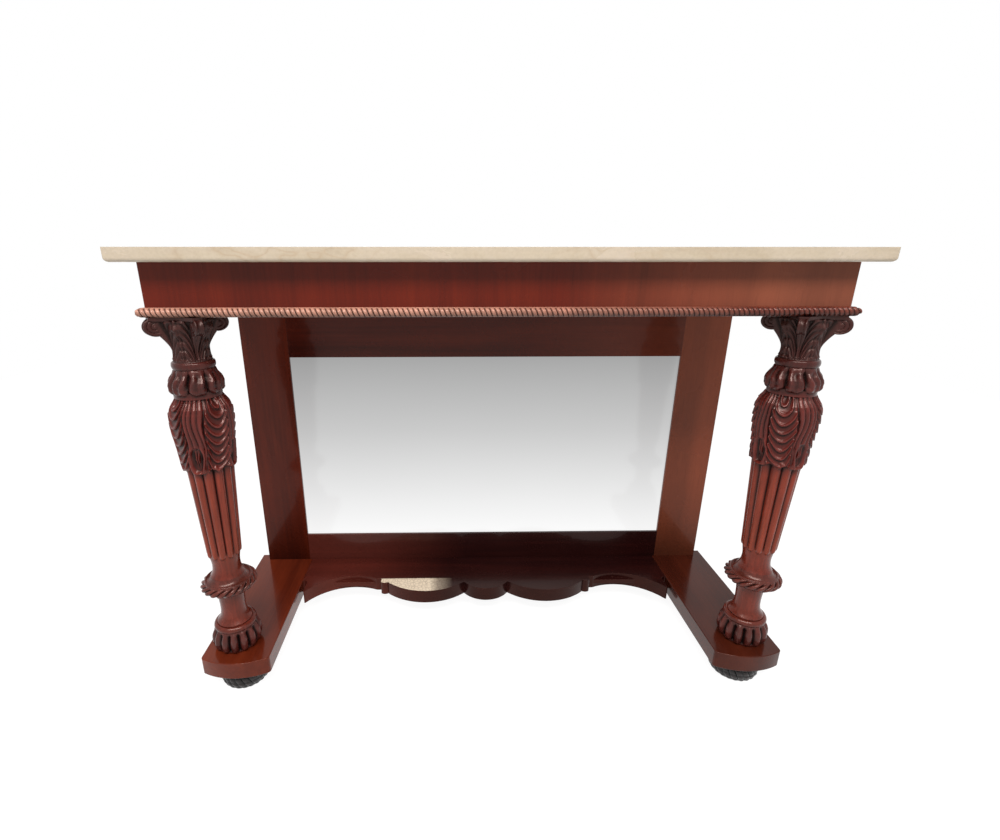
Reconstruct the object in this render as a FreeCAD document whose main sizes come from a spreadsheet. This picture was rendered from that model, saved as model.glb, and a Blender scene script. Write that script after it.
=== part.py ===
import FreeCAD, Part
import math
import os
import Sketcher

# Pier table: a marble slab on a frieze box, two carved columns in front, a framed mirror behind,
# and a U-shaped platform on four bun feet.
# Millimetres. +X is the table's right, +Y its back, +Z up. The origin is on the floor, in the middle.

# ---------------------------------------------------------------- driving dimensions

SIZES = {
    # marble slab
    "top_width": 1320, "top_depth": 430, "top_thickness": 24, "top_edge_radius": 7,
    "top_side_overhang": 32, "top_front_overhang": 37, "top_back_overhang": 6,
    # frieze box
    "frieze_height": 94, "frieze_board": 22, "lap_depth": 11,
    "rope_height": 17.5, "rope_reach": 13, "rope_round": 8.25,
    "corner_block_size": 84, "corner_block_height": 80, "glue_block_size": 34, "glue_block_height": 80,
    "bearer_width": 60, "bearer_thickness": 20, "bearer_spread": 400, "bearer_tongue": 8,
    "bearer_tongue_thickness": 10,
    # column, from the bottom up
    "column_side_inset": 49, "column_front_inset": 40,
    "base_bun_height": 50, "base_ring_height": 14, "base_neck_height": 79,
    "collar_height": 40, "neck_height": 45, "reed_height": 206, "vase_height": 147,
    "bulb_height": 55, "astragal_height": 14, "capital_height": 84,
    # column base: a lobed bun, a ring and a neck
    "base_bun_radius": 52, "base_bun_seat": 42, "bun_belly_height": 17, "bun_low_swell": 3,
    "bun_high_swell": 5, "bun_top_radius": 40.5, "bun_lobe_half_width": 11.3, "bun_lobe_count": 14,
    "bun_lobe_end_gap": 2, "lobe_end_radius": 2, "base_ring_radius": 44, "base_ring_swell": 4,
    "base_neck_low_radius": 33, "base_neck_high_radius": 28, "base_neck_hollow": 4,
    # dished collar
    "collar_radius": 57, "collar_seat_radius": 36, "collar_low_swell": 3, "collar_rim_low": 13,
    "collar_rim_high": 24, "collar_rim_swell": 3, "collar_dish_radius": 46, "collar_dish_height": 28,
    "collar_dish_step": 2, "collar_dish_hollow": 3,
    # shaft, vase and bulb
    "neck_radius": 29.5, "neck_waist": 1.5, "neck_cove_rise": 6.5, "neck_cove_swell": 2,
    "reed_low_radius": 35, "reed_high_radius": 43.5, "reed_groove_low": 3.6, "reed_groove_high": 4.4,
    "reed_count": 12, "vase_low_radius": 47.5, "vase_radius": 56.5, "vase_shoulder_height": 107,
    "vase_low_swell": 3, "vase_high_swell": 5, "vase_top_radius": 43,
    "bulb_low_radius": 42, "bulb_swell": 10.5, "bulb_top_radius": 36, "astragal_swell": 2.5,
    "quirk_height": 2,
    # column joints
    "upper_tenon_radius": 15, "upper_tenon_depth": 55, "lower_tenon_radius": 13, "lower_tenon_depth": 40,
    "base_tenon_radius": 15, "base_tenon_depth": 18, "bore_clearance": 0.3,
    # capital
    "capital_bell_low": 34, "capital_bell_high": 45, "capital_bell_hollow": 3,
    "abacus_thickness": 8, "abacus_corner": 70, "abacus_corner_half_width": 7, "abacus_hollow": 9,
    "volute_radius": 19, "volute_width": 14, "volute_centre": 48,
    # platform
    "platform_thickness": 40, "platform_reach": 13.5, "arm_width": 148, "platform_front_reach": 33,
    "bow_depth": 18, "shelf_thickness": 36, "shelf_tongue": 15, "shelf_tongue_thickness": 12,
    "rail_screw_inset": 12,
    "lobe_front": 247.5, "side_lobe_outer": 262, "side_lobe_inner": 58.5,
    "lobe_cusp_depth": 38.5, "middle_lobe_setback": 7.5, "knuckle_width": 20, "knuckle_setback": 41,
    "knuckle_swell": 4,
    "cove_inner": 296, "cove_inner_depth": 56, "cove_end_flat": 3, "cove_outer_depth": 4,
    "cove_hollow": 34, "notch_width": 13, "notch_depth": 40, "edge_round": 1.5,
    "arm_corner_round": 9,
    # feet
    "foot_height": 46, "foot_radius": 53, "foot_seat": 38, "foot_top_radius": 41, "foot_low_swell": 2,
    "foot_high_swell": 5, "foot_lobe_half_width": 8.5, "foot_lobe_count": 18, "foot_lobe_end_gap": 3,
    "rear_foot_radius": 46, "foot_spigot_radius": 12, "foot_spigot_height": 18,
    "foot_side_inset": 75.5, "foot_front_inset": 62,
    # back frame and mirror
    "back_thickness": 24, "stile_width": 116, "stile_inset": 12, "mirror_height": 510,
    "bottom_rail_height": 80, "frame_lip": 7, "rebate_width": 12, "glass_thickness": 4,
    "backboard_thickness": 6, "fillet_width": 10, "glass_clearance": 1,
    "rail_tenon_length": 30, "rail_tenon_thickness": 8, "rail_tenon_shoulder": 20,
    "stile_tenon_length": 20, "stile_tenon_thickness": 8, "stile_tenon_shoulder": 18,
    "joint_clearance": 0.2,
    # screws
    "screw_radius": 2.5, "screw_head_radius": 5, "screw_head_height": 4, "rail_screw_length": 58,
    "rail_screw_spread": 380, "block_screw_length": 44, "block_screw_height": 52,
}

doc = FreeCAD.newDocument("pier_table")
sheet = doc.addObject("Spreadsheet::Sheet", "Sizes")


class Size:
    """A size with its value now and the spreadsheet expression that it comes from."""

    def __init__(self, value, text):
        self.value = value
        self.text = text

    def join(self, other, sign, value):
        return Size(value, "(%s %s %s)" % (self.text, sign, size(other).text))

    def __add__(self, other):
        return self.join(other, "+", self.value + size(other).value)

    def __sub__(self, other):
        return self.join(other, "-", self.value - size(other).value)

    def __mul__(self, other):
        return self.join(other, "*", self.value * size(other).value)

    def __truediv__(self, other):
        return self.join(other, "/", self.value / size(other).value)

    def __neg__(self):
        return self * -1


def size(value):
    """A plain number as a Size, or the Size itself."""
    return value if isinstance(value, Size) else Size(float(value), str(value))


def fill_sheet():
    """One row of the sheet for each driving dimension: its name in A, its value in B."""
    named = {}
    for row, (name, value) in enumerate(SIZES.items(), start=1):
        sheet.set("A%d" % row, name)
        sheet.set("B%d" % row, str(value))
        sheet.setAlias("B%d" % row, name)
        named[name] = Size(float(value), "Sizes." + name)
    doc.recompute()
    return named


S = fill_sheet()
ZERO = size(0)
parts = {}

# ---------------------------------------------------------------- levels and places

platform_bottom = S["foot_height"]
platform_top = platform_bottom + S["platform_thickness"]
base_height = S["base_bun_height"] + S["base_ring_height"] + S["base_neck_height"]
column_length = (S["neck_height"] + S["reed_height"] + S["vase_height"] + S["bulb_height"]
                 + S["astragal_height"])
collar_bottom = platform_top + base_height
column_bottom = collar_bottom + S["collar_height"]
capital_bottom = column_bottom + column_length
frieze_bottom = capital_bottom + S["capital_height"]
frieze_top = frieze_bottom + S["frieze_height"]

top_front = S["top_depth"] / -2
top_back = S["top_depth"] / 2
frieze_end = S["top_width"] / 2 - S["top_side_overhang"]
frieze_front_face = top_front + S["top_front_overhang"]
back_face = top_back - S["top_back_overhang"]
column_x = frieze_end - S["column_side_inset"]
column_y = frieze_front_face + S["column_front_inset"]

platform_end = frieze_end + S["platform_reach"]
platform_front = frieze_front_face - S["platform_front_reach"]
arm_inner = platform_end - S["arm_width"]
foot_x = platform_end - S["foot_side_inset"]
front_foot_y = platform_front + S["foot_front_inset"]
rear_foot_y = back_face - S["foot_front_inset"]

stile_outer = frieze_end - S["stile_inset"]
stile_inner = stile_outer - S["stile_width"]
frame_front = back_face - S["back_thickness"]
mirror_bottom = platform_top + S["bottom_rail_height"]
mirror_top = mirror_bottom + S["mirror_height"]
rebate_front = frame_front + S["frame_lip"]
rebate_side = stile_inner + S["rebate_width"]
rebate_bottom = mirror_bottom - S["rebate_width"]
rebate_top = mirror_top + S["rebate_width"]

# ---------------------------------------------------------------- building blocks


def bind(thing, prop, value):
    thing.setExpression(prop, size(value).text)


def set_place(thing, x, y, z, rotation=None):
    """Place a thing and tie its place to the sheet."""
    x, y, z = size(x), size(y), size(z)
    thing.Placement = FreeCAD.Placement(FreeCAD.Vector(x.value, y.value, z.value),
                                        rotation or FreeCAD.Rotation())
    for letter, value in (("x", x), ("y", y), ("z", z)):
        bind(thing, "Placement.Base." + letter, value)
    return thing


def box(name, x_range, y_range, z_range):
    """A box between two values along each axis, in either order."""
    thing = doc.addObject("Part::Box", name)
    low = []
    for prop, (one, other) in (("Length", x_range), ("Width", y_range), ("Height", z_range)):
        one, other = size(one), size(other)
        if one.value > other.value:
            one, other = other, one
        low.append(one)
        bind(thing, prop, other - one)
    return set_place(thing, *low)


def rod(name, radius, length, x, y, z, direction):
    """A cylinder that starts at a point and runs along a direction."""
    thing = doc.addObject("Part::Cylinder", name)
    bind(thing, "Radius", radius)
    bind(thing, "Height", length)
    return set_place(thing, x, y, z, FreeCAD.Rotation(FreeCAD.Vector(0, 0, 1), direction))


def join(name, things):
    thing = doc.addObject("Part::MultiFuse", name)
    thing.Shapes = things
    return thing


def cut(name, base, tools):
    """The base with one tool or several taken away."""
    thing = doc.addObject("Part::Cut", name)
    thing.Base = base
    thing.Tool = tools[0] if len(tools) == 1 else join(name + "_tools", tools)
    return thing


def group(name, things):
    """Separate solids that share one node."""
    thing = doc.addObject("Part::Compound", name)
    thing.Links = things
    return thing


def finish(name, thing):
    """Give a sub-part its name and keep it for the files."""
    thing.Label = name
    parts[name] = thing
    return thing


def mirrored(name, thing):
    """The thing's mirror image on the table's other side."""
    image = doc.addObject("Part::Mirroring", name)
    image.Source = thing
    image.Normal = FreeCAD.Vector(1, 0, 0)
    return image


def both_sides(things):
    """The given things of the right-hand side, and their mirror images."""
    return things + [mirrored(thing.Name + "_mirrored", thing) for thing in things]


def finish_pair(name, thing):
    """Keep the right-hand sub-part, and its mirror image as the left-hand one."""
    finish(name + "_right", thing)
    finish(name + "_left", mirrored(name + "_mirrored", thing))


def new_body(name, x=0, y=0, z=0, rotation=None):
    return set_place(doc.addObject("PartDesign::Body", name + "_body"), x, y, z, rotation)


def origin_feature(body, role):
    return next(item for item in body.Origin.OriginFeatures if item.Role == role)


def new_sketch(body, name, plane, offset=None):
    """A sketch on one of the body's own planes, lifted off it by an offset."""
    sketch = body.newObject("Sketcher::SketchObject", name)
    sketch.AttachmentSupport = [(origin_feature(body, plane), "")]
    sketch.MapMode = "FlatFace"
    if offset is not None:
        bind(sketch, "AttachmentOffset.Base.z", offset)
    return sketch


def pin_point(sketch, edge, vertex, across, up):
    """Hold a sketch point at a distance from the origin along both sketch axes."""
    for kind, axis, value in (("DistanceX", -2, across), ("DistanceY", -1, up)):
        if value.value == 0 and value.text in ("0", "0.0"):
            sketch.addConstraint(Sketcher.Constraint("PointOnObject", edge, vertex, axis))
            continue
        index = sketch.addConstraint(Sketcher.Constraint(kind, -1, 1, edge, vertex, value.value))
        bind(sketch, "Constraints[%d]" % index, value)


def arc_between(start, end, radius, left):
    """The short arc from start to end whose centre is on the left or right of the way."""
    chord = end - start
    half = chord.Length / 2
    normal = FreeCAD.Vector(-chord.y, chord.x, 0).normalize()
    reach = math.sqrt(max(radius * radius - half * half, 0))
    centre = (start + end) * 0.5 + normal * (reach if left else -reach)
    first, last = (start, end) if left else (end, start)
    angles = [math.atan2(point.y - centre.y, point.x - centre.x) for point in (first, last)]
    circle = Part.Circle(centre, FreeCAD.Vector(0, 0, 1), radius)
    return Part.ArcOfCircle(circle, angles[0], angles[1])


def outline(sketch, corners):
    """A closed outline. A corner is (across, up) or (across, up, bulge), where bulge is how far the
    edge to the next corner stands out of its chord, and a negative bulge is a hollow."""
    corners = [tuple(size(value) for value in corner) for corner in corners]
    points = [FreeCAD.Vector(corner[0].value, corner[1].value, 0) for corner in corners]
    following = points[1:] + points[:1]
    area = sum(one.x * other.y - other.x * one.y for one, other in zip(points, following))
    edges = []
    for index, corner in enumerate(corners):
        start, end = points[index], following[index]
        if len(corner) == 2:
            edge = sketch.addGeometry(Part.LineSegment(start, end), False)
            edges.append((edge, 1, 2))
            continue
        goal = corners[(index + 1) % len(corners)]
        across, up = goal[0] - corner[0], goal[1] - corner[1]
        bulge = corner[2] if corner[2].value > 0 else -corner[2]
        radius = ((across * across + up * up) / 4 + bulge * bulge) / (bulge * 2)
        left = (corner[2].value > 0) == (area > 0)
        edge = sketch.addGeometry(arc_between(start, end, radius.value, left), False)
        edges.append((edge, 1, 2) if left else (edge, 2, 1))
        limit = sketch.addConstraint(Sketcher.Constraint("Radius", edge, radius.value))
        bind(sketch, "Constraints[%d]" % limit, radius)
    for index, (edge, first, last) in enumerate(edges):
        following_edge, following_first, _ = edges[(index + 1) % len(edges)]
        sketch.addConstraint(Sketcher.Constraint("Coincident", edge, last,
                                                 following_edge, following_first))
        pin_point(sketch, edge, first, *corners[index][:2])
    return sketch


def disc(sketch, across, up, radius):
    """A full circle in a sketch."""
    across, up, radius = size(across), size(up), size(radius)
    centre = FreeCAD.Vector(across.value, up.value, 0)
    edge = sketch.addGeometry(Part.Circle(centre, FreeCAD.Vector(0, 0, 1), radius.value), False)
    pin_point(sketch, edge, 3, across, up)
    index = sketch.addConstraint(Sketcher.Constraint("Radius", edge, radius.value))
    bind(sketch, "Constraints[%d]" % index, radius)
    return sketch


def pad(body, name, sketch, length, midplane=False):
    feature = body.newObject("PartDesign::Pad", name)
    feature.Profile = sketch
    feature.Midplane = midplane
    bind(feature, "Length", length)
    doc.recompute()
    return feature


def round_edges(body, name, base, radius, wanted):
    """Round every edge of a feature that the given test wants."""
    feature = body.newObject("PartDesign::Fillet", name)
    chosen = [index for index, edge in enumerate(base.Shape.Edges, start=1) if wanted(edge)]
    feature.Base = (base, ["Edge%d" % index for index in chosen])
    bind(feature, "Radius", radius)
    doc.recompute()
    return feature


def lies_flat(edge):
    return edge.BoundBox.ZLength < 0.01


def turn(body, name, corners):
    """A turned solid: an outline of (radius, height) corners, revolved about the body's Z axis."""
    feature = body.newObject("PartDesign::Revolution", name)
    feature.Profile = outline(new_sketch(body, name + "_outline", "XZ_Plane"), corners)
    feature.ReferenceAxis = (feature.Profile[0], ["V_Axis"])
    feature.Angle = 360
    doc.recompute()
    return feature


def ring_pattern(body, name, feature, count):
    """Repeat a feature about the body's Z axis."""
    pattern = body.newObject("PartDesign::PolarPattern", name)
    pattern.Originals = [feature]
    pattern.Axis = (origin_feature(body, "Z_Axis"), [""])
    pattern.Angle = 360
    bind(pattern, "Occurrences", count)
    body.Tip = pattern
    doc.recompute()
    return pattern


def lobes(body, name, count, reach, half_width, low, high):
    """A ring of upright barrel-shaped lobes whose outer sides stand at the given reach."""
    sketch = new_sketch(body, name + "_outline", "XZ_Plane")
    middle = size(reach) - half_width
    end = S["lobe_end_radius"]
    outline(sketch, [(middle, low), (middle + end, low, half_width - end), (middle + end, high),
                     (middle, high)])
    barrel = body.newObject("PartDesign::Revolution", name + "_barrel")
    barrel.Profile = sketch
    barrel.ReferenceAxis = (sketch, ["Edge4"])
    barrel.Angle = 360
    doc.recompute()
    return ring_pattern(body, name, barrel, count)


def screw(name, length, x, y, z, direction):
    """A countersunk screw with the face of its head at the given point."""
    turned_way = FreeCAD.Rotation(FreeCAD.Vector(0, 0, 1), direction)
    head = doc.addObject("Part::Cone", name + "_head")
    bind(head, "Radius1", S["screw_head_radius"])
    bind(head, "Radius2", S["screw_radius"])
    bind(head, "Height", S["screw_head_height"])
    set_place(head, x, y, z, turned_way)
    shank = rod(name + "_shank", S["screw_radius"], length, x, y, z, direction)
    return join(name, [head, shank])


def screw_hole(name, length, x, y, z, direction):
    """The countersunk hole that a screw drives into, wider by the bore clearance."""
    turned_way = FreeCAD.Rotation(FreeCAD.Vector(0, 0, 1), direction)
    sink = doc.addObject("Part::Cone", name + "_sink")
    bind(sink, "Radius1", S["screw_head_radius"] + S["bore_clearance"])
    bind(sink, "Radius2", S["screw_radius"] + S["bore_clearance"])
    bind(sink, "Height", S["screw_head_height"] + S["bore_clearance"])
    set_place(sink, x, y, z, turned_way)
    bore = rod(name + "_bore", S["screw_radius"] + S["bore_clearance"], length + S["bore_clearance"],
               x, y, z, direction)
    return join(name, [sink, bore])


UP = FreeCAD.Vector(0, 0, 1)
DOWN = FreeCAD.Vector(0, 0, -1)
FORWARD = FreeCAD.Vector(0, -1, 0)
OUTWARD = FreeCAD.Vector(1, 0, 0)
SIDES = (("left", -1), ("right", 1))

# ---------------------------------------------------------------- marble top


def marble_top():
    """The slab, with its lower edge rounded on the front and both ends."""
    body = new_body("marble_top", 0, 0, frieze_top)
    half_width = S["top_width"] / 2
    slab = pad(body, "slab", outline(new_sketch(body, "slab_outline", "XY_Plane"), [
        (-half_width, top_front), (half_width, top_front),
        (half_width, top_back), (-half_width, top_back)]), S["top_thickness"])
    round_edges(body, "slab_edge", slab, S["top_edge_radius"],
                lambda edge: edge.BoundBox.ZMax < 1 and edge.BoundBox.YMin < 0)
    finish("marble_top", body)


# ---------------------------------------------------------------- frieze box

side_inner = frieze_end - S["frieze_board"]
front_inner = frieze_front_face + S["frieze_board"]
back_inner = back_face - S["frieze_board"]
bearer_bottom = frieze_top - S["bearer_thickness"]
block_inner_x = side_inner - S["corner_block_size"]
block_inner_y = front_inner + S["corner_block_size"]
block_screw_z = frieze_bottom + S["block_screw_height"]
rope_end = frieze_end + S["rope_reach"]
rope_front = frieze_front_face - S["rope_reach"]


def bearer_range(side, clearance):
    """The width of one bearer along X, wider by a clearance on each side."""
    middle = S["bearer_spread"] / 2 * side
    half = S["bearer_width"] / 2 + clearance
    return middle - half, middle + half


def bearer_tongue_heights(clearance):
    """The heights of the bearers' tongues, taller by a clearance above and below."""
    middle = bearer_bottom + S["bearer_thickness"] / 2
    half = S["bearer_tongue_thickness"] / 2 + clearance
    return middle - half, middle + half


def bearer_mortises(name, face, depth):
    """The two slots in a board that take the bearers' tongues."""
    clearance = S["joint_clearance"]
    return [box("%s_slot_%s" % (name, word), bearer_range(side, clearance), (face, face + depth),
                bearer_tongue_heights(clearance)) for word, side in SIDES]


def end_laps(name, inner_face, outer_face):
    """The two rebates at a board's ends, in which the side boards lie."""
    return [box("%s_lap_%s" % (name, word), (side_inner * side, frieze_end * side),
                (inner_face, outer_face), (frieze_bottom, frieze_top)) for word, side in SIDES]


def block_screw_places():
    """Where the two screws of the right-hand corner block start and how they run."""
    middle_y = column_y + S["upper_tenon_radius"] + S["screw_head_radius"] * 2
    middle_x = column_x - S["upper_tenon_radius"] - S["screw_head_radius"] * 2
    start_y = front_inner - S["frieze_board"] / 2 + S["block_screw_length"]
    start_x = side_inner + S["frieze_board"] / 2 - S["block_screw_length"]
    return ((middle_x, start_y, block_screw_z, FORWARD), (start_x, middle_y, block_screw_z, OUTWARD))


def frieze_front():
    board = box("front_board", (-frieze_end, frieze_end), (frieze_front_face, front_inner),
                (frieze_bottom, frieze_top))
    tools = end_laps("front", front_inner - S["lap_depth"], front_inner)
    tools += bearer_mortises("front", front_inner, -(S["bearer_tongue"] + S["joint_clearance"]))
    x, y, z, direction = block_screw_places()[0]
    for word, side in SIDES:
        tools.append(screw_hole("front_screw_hole_" + word, S["block_screw_length"],
                                x * side, y, z, direction))
    finish("frieze_front", cut("frieze_front_cut", board, tools))


def frieze_back_rail():
    board = box("back_board", (-frieze_end, frieze_end), (back_inner, back_face),
                (frieze_bottom, frieze_top))
    tools = end_laps("back", back_inner, back_inner + S["lap_depth"])
    tools += bearer_mortises("back", back_inner, S["bearer_tongue"] + S["joint_clearance"])
    for word, side in SIDES:
        tools.append(stile_tenon("back_mortise_" + word, side, frieze_bottom, 1, S["joint_clearance"]))
    finish("frieze_back_rail", cut("frieze_back_rail_cut", board, tools))


def frieze_sides():
    board = box("side_board", (side_inner, frieze_end),
                (front_inner - S["lap_depth"], back_inner + S["lap_depth"]),
                (frieze_bottom, frieze_top))
    hole = screw_hole("side_screw_hole", S["block_screw_length"], *block_screw_places()[1])
    finish_pair("frieze_side", cut("frieze_side_cut", board, [hole]))


def corner_blocks():
    """The blocks that take the columns' upper tenons, with their screws.
    A wide hole in the block's inner side lets each screw's head in."""
    block = box("block", (block_inner_x, side_inner), (front_inner, block_inner_y),
                (frieze_bottom, frieze_bottom + S["corner_block_height"]))
    tools = [rod("block_bore", S["upper_tenon_radius"] + S["bore_clearance"],
                 S["upper_tenon_depth"] + S["bore_clearance"], column_x, column_y, frieze_bottom, UP)]
    screws = []
    front_place, side_place = block_screw_places()
    head_radius = S["screw_head_radius"] + S["bore_clearance"]
    for name, place, access_length in (("block_front", front_place, block_inner_y - front_place[1]),
                                       ("block_side", side_place, side_place[0] - block_inner_x)):
        tools.append(screw_hole(name + "_hole", S["block_screw_length"], *place))
        tools.append(rod(name + "_access", head_radius, access_length, *place[:3], -place[3]))
        screws.append(screw(name + "_screw", S["block_screw_length"], *place))
    finish_pair("frieze_corner_block", cut("block_cut", block, tools))
    finish("corner_block_screws", group("corner_block_screw_group", both_sides(screws)))


def glue_blocks():
    """Two three-sided blocks in the rear corners of the box."""
    body = new_body("glue_block", side_inner, back_inner, frieze_top - S["glue_block_height"])
    leg = S["glue_block_size"]
    sketch = outline(new_sketch(body, "glue_block_plan", "XY_Plane"), [(0, 0), (-leg, 0), (0, -leg)])
    pad(body, "glue_block_pad", sketch, S["glue_block_height"])
    finish("frieze_glue_blocks", group("glue_block_group", both_sides([body])))


def bearers():
    """The two cross rails, with a tongue at each end."""
    rail = box("bearer_rail", bearer_range(1, 0), (front_inner, back_inner),
               (bearer_bottom, frieze_top))
    tongue = box("bearer_tongue", bearer_range(1, 0),
                 (front_inner - S["bearer_tongue"], back_inner + S["bearer_tongue"]),
                 bearer_tongue_heights(0))
    finish_pair("frieze_bearer", join("bearer", [rail, tongue]))


def rope_strip(name, corners):
    """A half-round strip: a flat bar with mitred ends and its two outer edges rounded."""
    body = new_body(name, 0, 0, frieze_bottom)
    bar = pad(body, name + "_bar", outline(new_sketch(body, name + "_plan", "XY_Plane"), corners),
              S["rope_height"])

    def outermost(edge):
        middle = edge.CenterOfMass
        outside = (abs(middle.y - rope_front.value) < 0.01
                   or abs(middle.x - rope_end.value) < 0.01)
        return lies_flat(edge) and outside

    round_edges(body, name + "_round", bar, S["rope_round"], outermost)
    return body


def rope_mouldings():
    finish("rope_moulding_front", rope_strip("rope_front", [
        (-rope_end, rope_front), (rope_end, rope_front),
        (frieze_end, frieze_front_face), (-frieze_end, frieze_front_face)]))
    finish_pair("rope_moulding", rope_strip("rope_side", [
        (frieze_end, frieze_front_face), (rope_end, rope_front),
        (rope_end, back_face), (frieze_end, back_face)]))


# ---------------------------------------------------------------- columns


def capitals():
    """A hollow bell, four volutes under the corners, and a thin abacus with hollowed sides.
    The body's own axes point at the four corners, so it stands turned by 45 degrees."""
    body = new_body("capital", column_x, column_y, capital_bottom, FreeCAD.Rotation(UP, 45))
    bore = S["upper_tenon_radius"] + S["bore_clearance"]
    abacus_bottom = S["capital_height"] - S["abacus_thickness"]
    turn(body, "bell", [
        (bore, 0), (S["capital_bell_low"], 0, -S["capital_bell_hollow"]),
        (S["capital_bell_high"], abacus_bottom), (bore, abacus_bottom)])
    volute_z = abacus_bottom - S["volute_radius"] + S["abacus_thickness"] / 2
    sketch = disc(new_sketch(body, "volute_outline", "XZ_Plane"), S["volute_centre"], volute_z,
                  S["volute_radius"])
    ring_pattern(body, "volutes", pad(body, "volute", sketch, S["volute_width"], True), 4)
    out, half, hollow = S["abacus_corner"], S["abacus_corner_half_width"], S["abacus_hollow"]
    plan = [(out, -half), (out, half, -hollow), (half, out), (-half, out, -hollow),
            (-out, half), (-out, -half, -hollow), (-half, -out), (half, -out, -hollow)]
    sketch = outline(new_sketch(body, "abacus_plan", "XY_Plane", abacus_bottom), plan)
    pad(body, "abacus", sketch, S["abacus_thickness"])
    hole = body.newObject("PartDesign::Pocket", "capital_bore")
    hole.Profile = disc(new_sketch(body, "capital_bore_outline", "XY_Plane"), 0, 0, bore)
    hole.Type = "ThroughAll"
    hole.Reversed = True
    body.Tip = hole
    finish_pair("capital", body)


def column_outline():
    """The turned outline from the foot of the lower tenon to the head of the upper one."""
    reed_bottom = S["neck_height"]
    vase_bottom = reed_bottom + S["reed_height"]
    bulb_bottom = vase_bottom + S["vase_height"]
    astragal_bottom = bulb_bottom + S["bulb_height"]
    top = astragal_bottom + S["astragal_height"]
    lower_end = -(S["collar_height"] + S["lower_tenon_depth"])
    upper_end = top + S["capital_height"] + S["upper_tenon_depth"]
    leaf_lip = S["vase_low_radius"] - S["reed_high_radius"]
    quirk = S["quirk_height"]
    return [
        (0, lower_end), (S["lower_tenon_radius"], lower_end), (S["lower_tenon_radius"], 0),
        (S["neck_radius"], 0, -S["neck_waist"]),
        (S["neck_radius"], reed_bottom - S["neck_cove_rise"], S["neck_cove_swell"]),
        (S["reed_low_radius"], reed_bottom + S["neck_cove_rise"]),
        (S["reed_high_radius"], vase_bottom),
        (S["vase_low_radius"], vase_bottom + leaf_lip, S["vase_low_swell"]),
        (S["vase_radius"], vase_bottom + S["vase_shoulder_height"], S["vase_high_swell"]),
        (S["vase_top_radius"], bulb_bottom - quirk),
        (S["bulb_low_radius"], bulb_bottom + quirk, S["bulb_swell"]),
        (S["bulb_top_radius"], astragal_bottom),
        (S["bulb_top_radius"], astragal_bottom + quirk, S["astragal_swell"]),
        (S["bulb_top_radius"], top - quirk), (S["capital_bell_low"], top),
        (S["upper_tenon_radius"], top), (S["upper_tenon_radius"], upper_end), (0, upper_end)]


def columns():
    """The turned columns, with grooves between the reeds of the shaft."""
    reed_bottom = S["neck_height"] + S["neck_cove_rise"]
    vase_bottom = S["neck_height"] + S["reed_height"]
    body = new_body("column", column_x, column_y, column_bottom)
    turn(body, "column_turning", column_outline())
    groove = body.newObject("PartDesign::SubtractiveLoft", "reed_groove")
    groove.Profile = disc(new_sketch(body, "groove_low", "XY_Plane", reed_bottom),
                          S["reed_low_radius"], 0, S["reed_groove_low"])
    groove.Sections = [disc(new_sketch(body, "groove_high", "XY_Plane", vase_bottom),
                            S["reed_high_radius"], 0, S["reed_groove_high"])]
    doc.recompute()
    ring_pattern(body, "reeds", groove, S["reed_count"])
    finish_pair("column", body)


def collars():
    """The dished discs on the columns' lower tenons."""
    body = new_body("collar", column_x, column_y, collar_bottom)
    bore = S["lower_tenon_radius"] + S["bore_clearance"]
    rim = S["collar_radius"] - S["collar_rim_swell"]
    dish, step = S["collar_dish_radius"], S["collar_dish_step"]
    turn(body, "collar_turning", [
        (bore, 0), (S["collar_seat_radius"], 0, S["collar_low_swell"]),
        (rim, S["collar_rim_low"], S["collar_rim_swell"]), (rim, S["collar_rim_high"]),
        (dish, S["collar_dish_height"]),
        (dish - step, S["collar_dish_height"] - step, -S["collar_dish_hollow"]),
        (S["neck_radius"], S["collar_height"]), (bore, S["collar_height"])])
    finish_pair("column_collar", body)


def bases():
    """Lobed bun, ring and neck in one piece, with a tenon below and a bore for the column above."""
    body = new_body("base", column_x, column_y, platform_top)
    bore = S["lower_tenon_radius"] + S["bore_clearance"]
    ring_bottom = S["base_bun_height"]
    neck_bottom = ring_bottom + S["base_ring_height"]
    bore_bottom = base_height - S["lower_tenon_depth"] - S["bore_clearance"]
    core = S["base_bun_radius"] - S["bun_lobe_half_width"] / 2
    ring = S["base_ring_radius"] - S["base_ring_swell"]
    turn(body, "base_turning", [
        (0, -S["base_tenon_depth"]), (S["base_tenon_radius"], -S["base_tenon_depth"]),
        (S["base_tenon_radius"], 0), (S["base_bun_seat"], 0, S["bun_low_swell"]),
        (core, S["bun_belly_height"], S["bun_high_swell"]), (S["bun_top_radius"], ring_bottom),
        (ring, ring_bottom, S["base_ring_swell"]), (ring, neck_bottom),
        (S["base_neck_low_radius"], neck_bottom, -S["base_neck_hollow"]),
        (S["base_neck_high_radius"], base_height),
        (bore, base_height), (bore, bore_bottom), (0, bore_bottom)])
    lobes(body, "base_lobes", S["bun_lobe_count"], S["base_bun_radius"], S["bun_lobe_half_width"],
          S["bun_lobe_end_gap"], ring_bottom - S["bun_lobe_end_gap"])
    finish_pair("column_base", body)


# ---------------------------------------------------------------- back frame and mirror


def stile_tenon(name, side, level, up, clearance):
    """A tenon at one end of a stile, or its mortise where a clearance is given."""
    shoulder = S["stile_tenon_shoulder"] - clearance
    middle = back_face - S["frieze_board"] / 2
    half = S["stile_tenon_thickness"] / 2 + clearance
    end = level + (S["stile_tenon_length"] + clearance) * up
    return box(name, ((stile_inner + shoulder) * side, (stile_outer - shoulder) * side),
               (middle - half, middle + half), (level, end))


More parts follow.
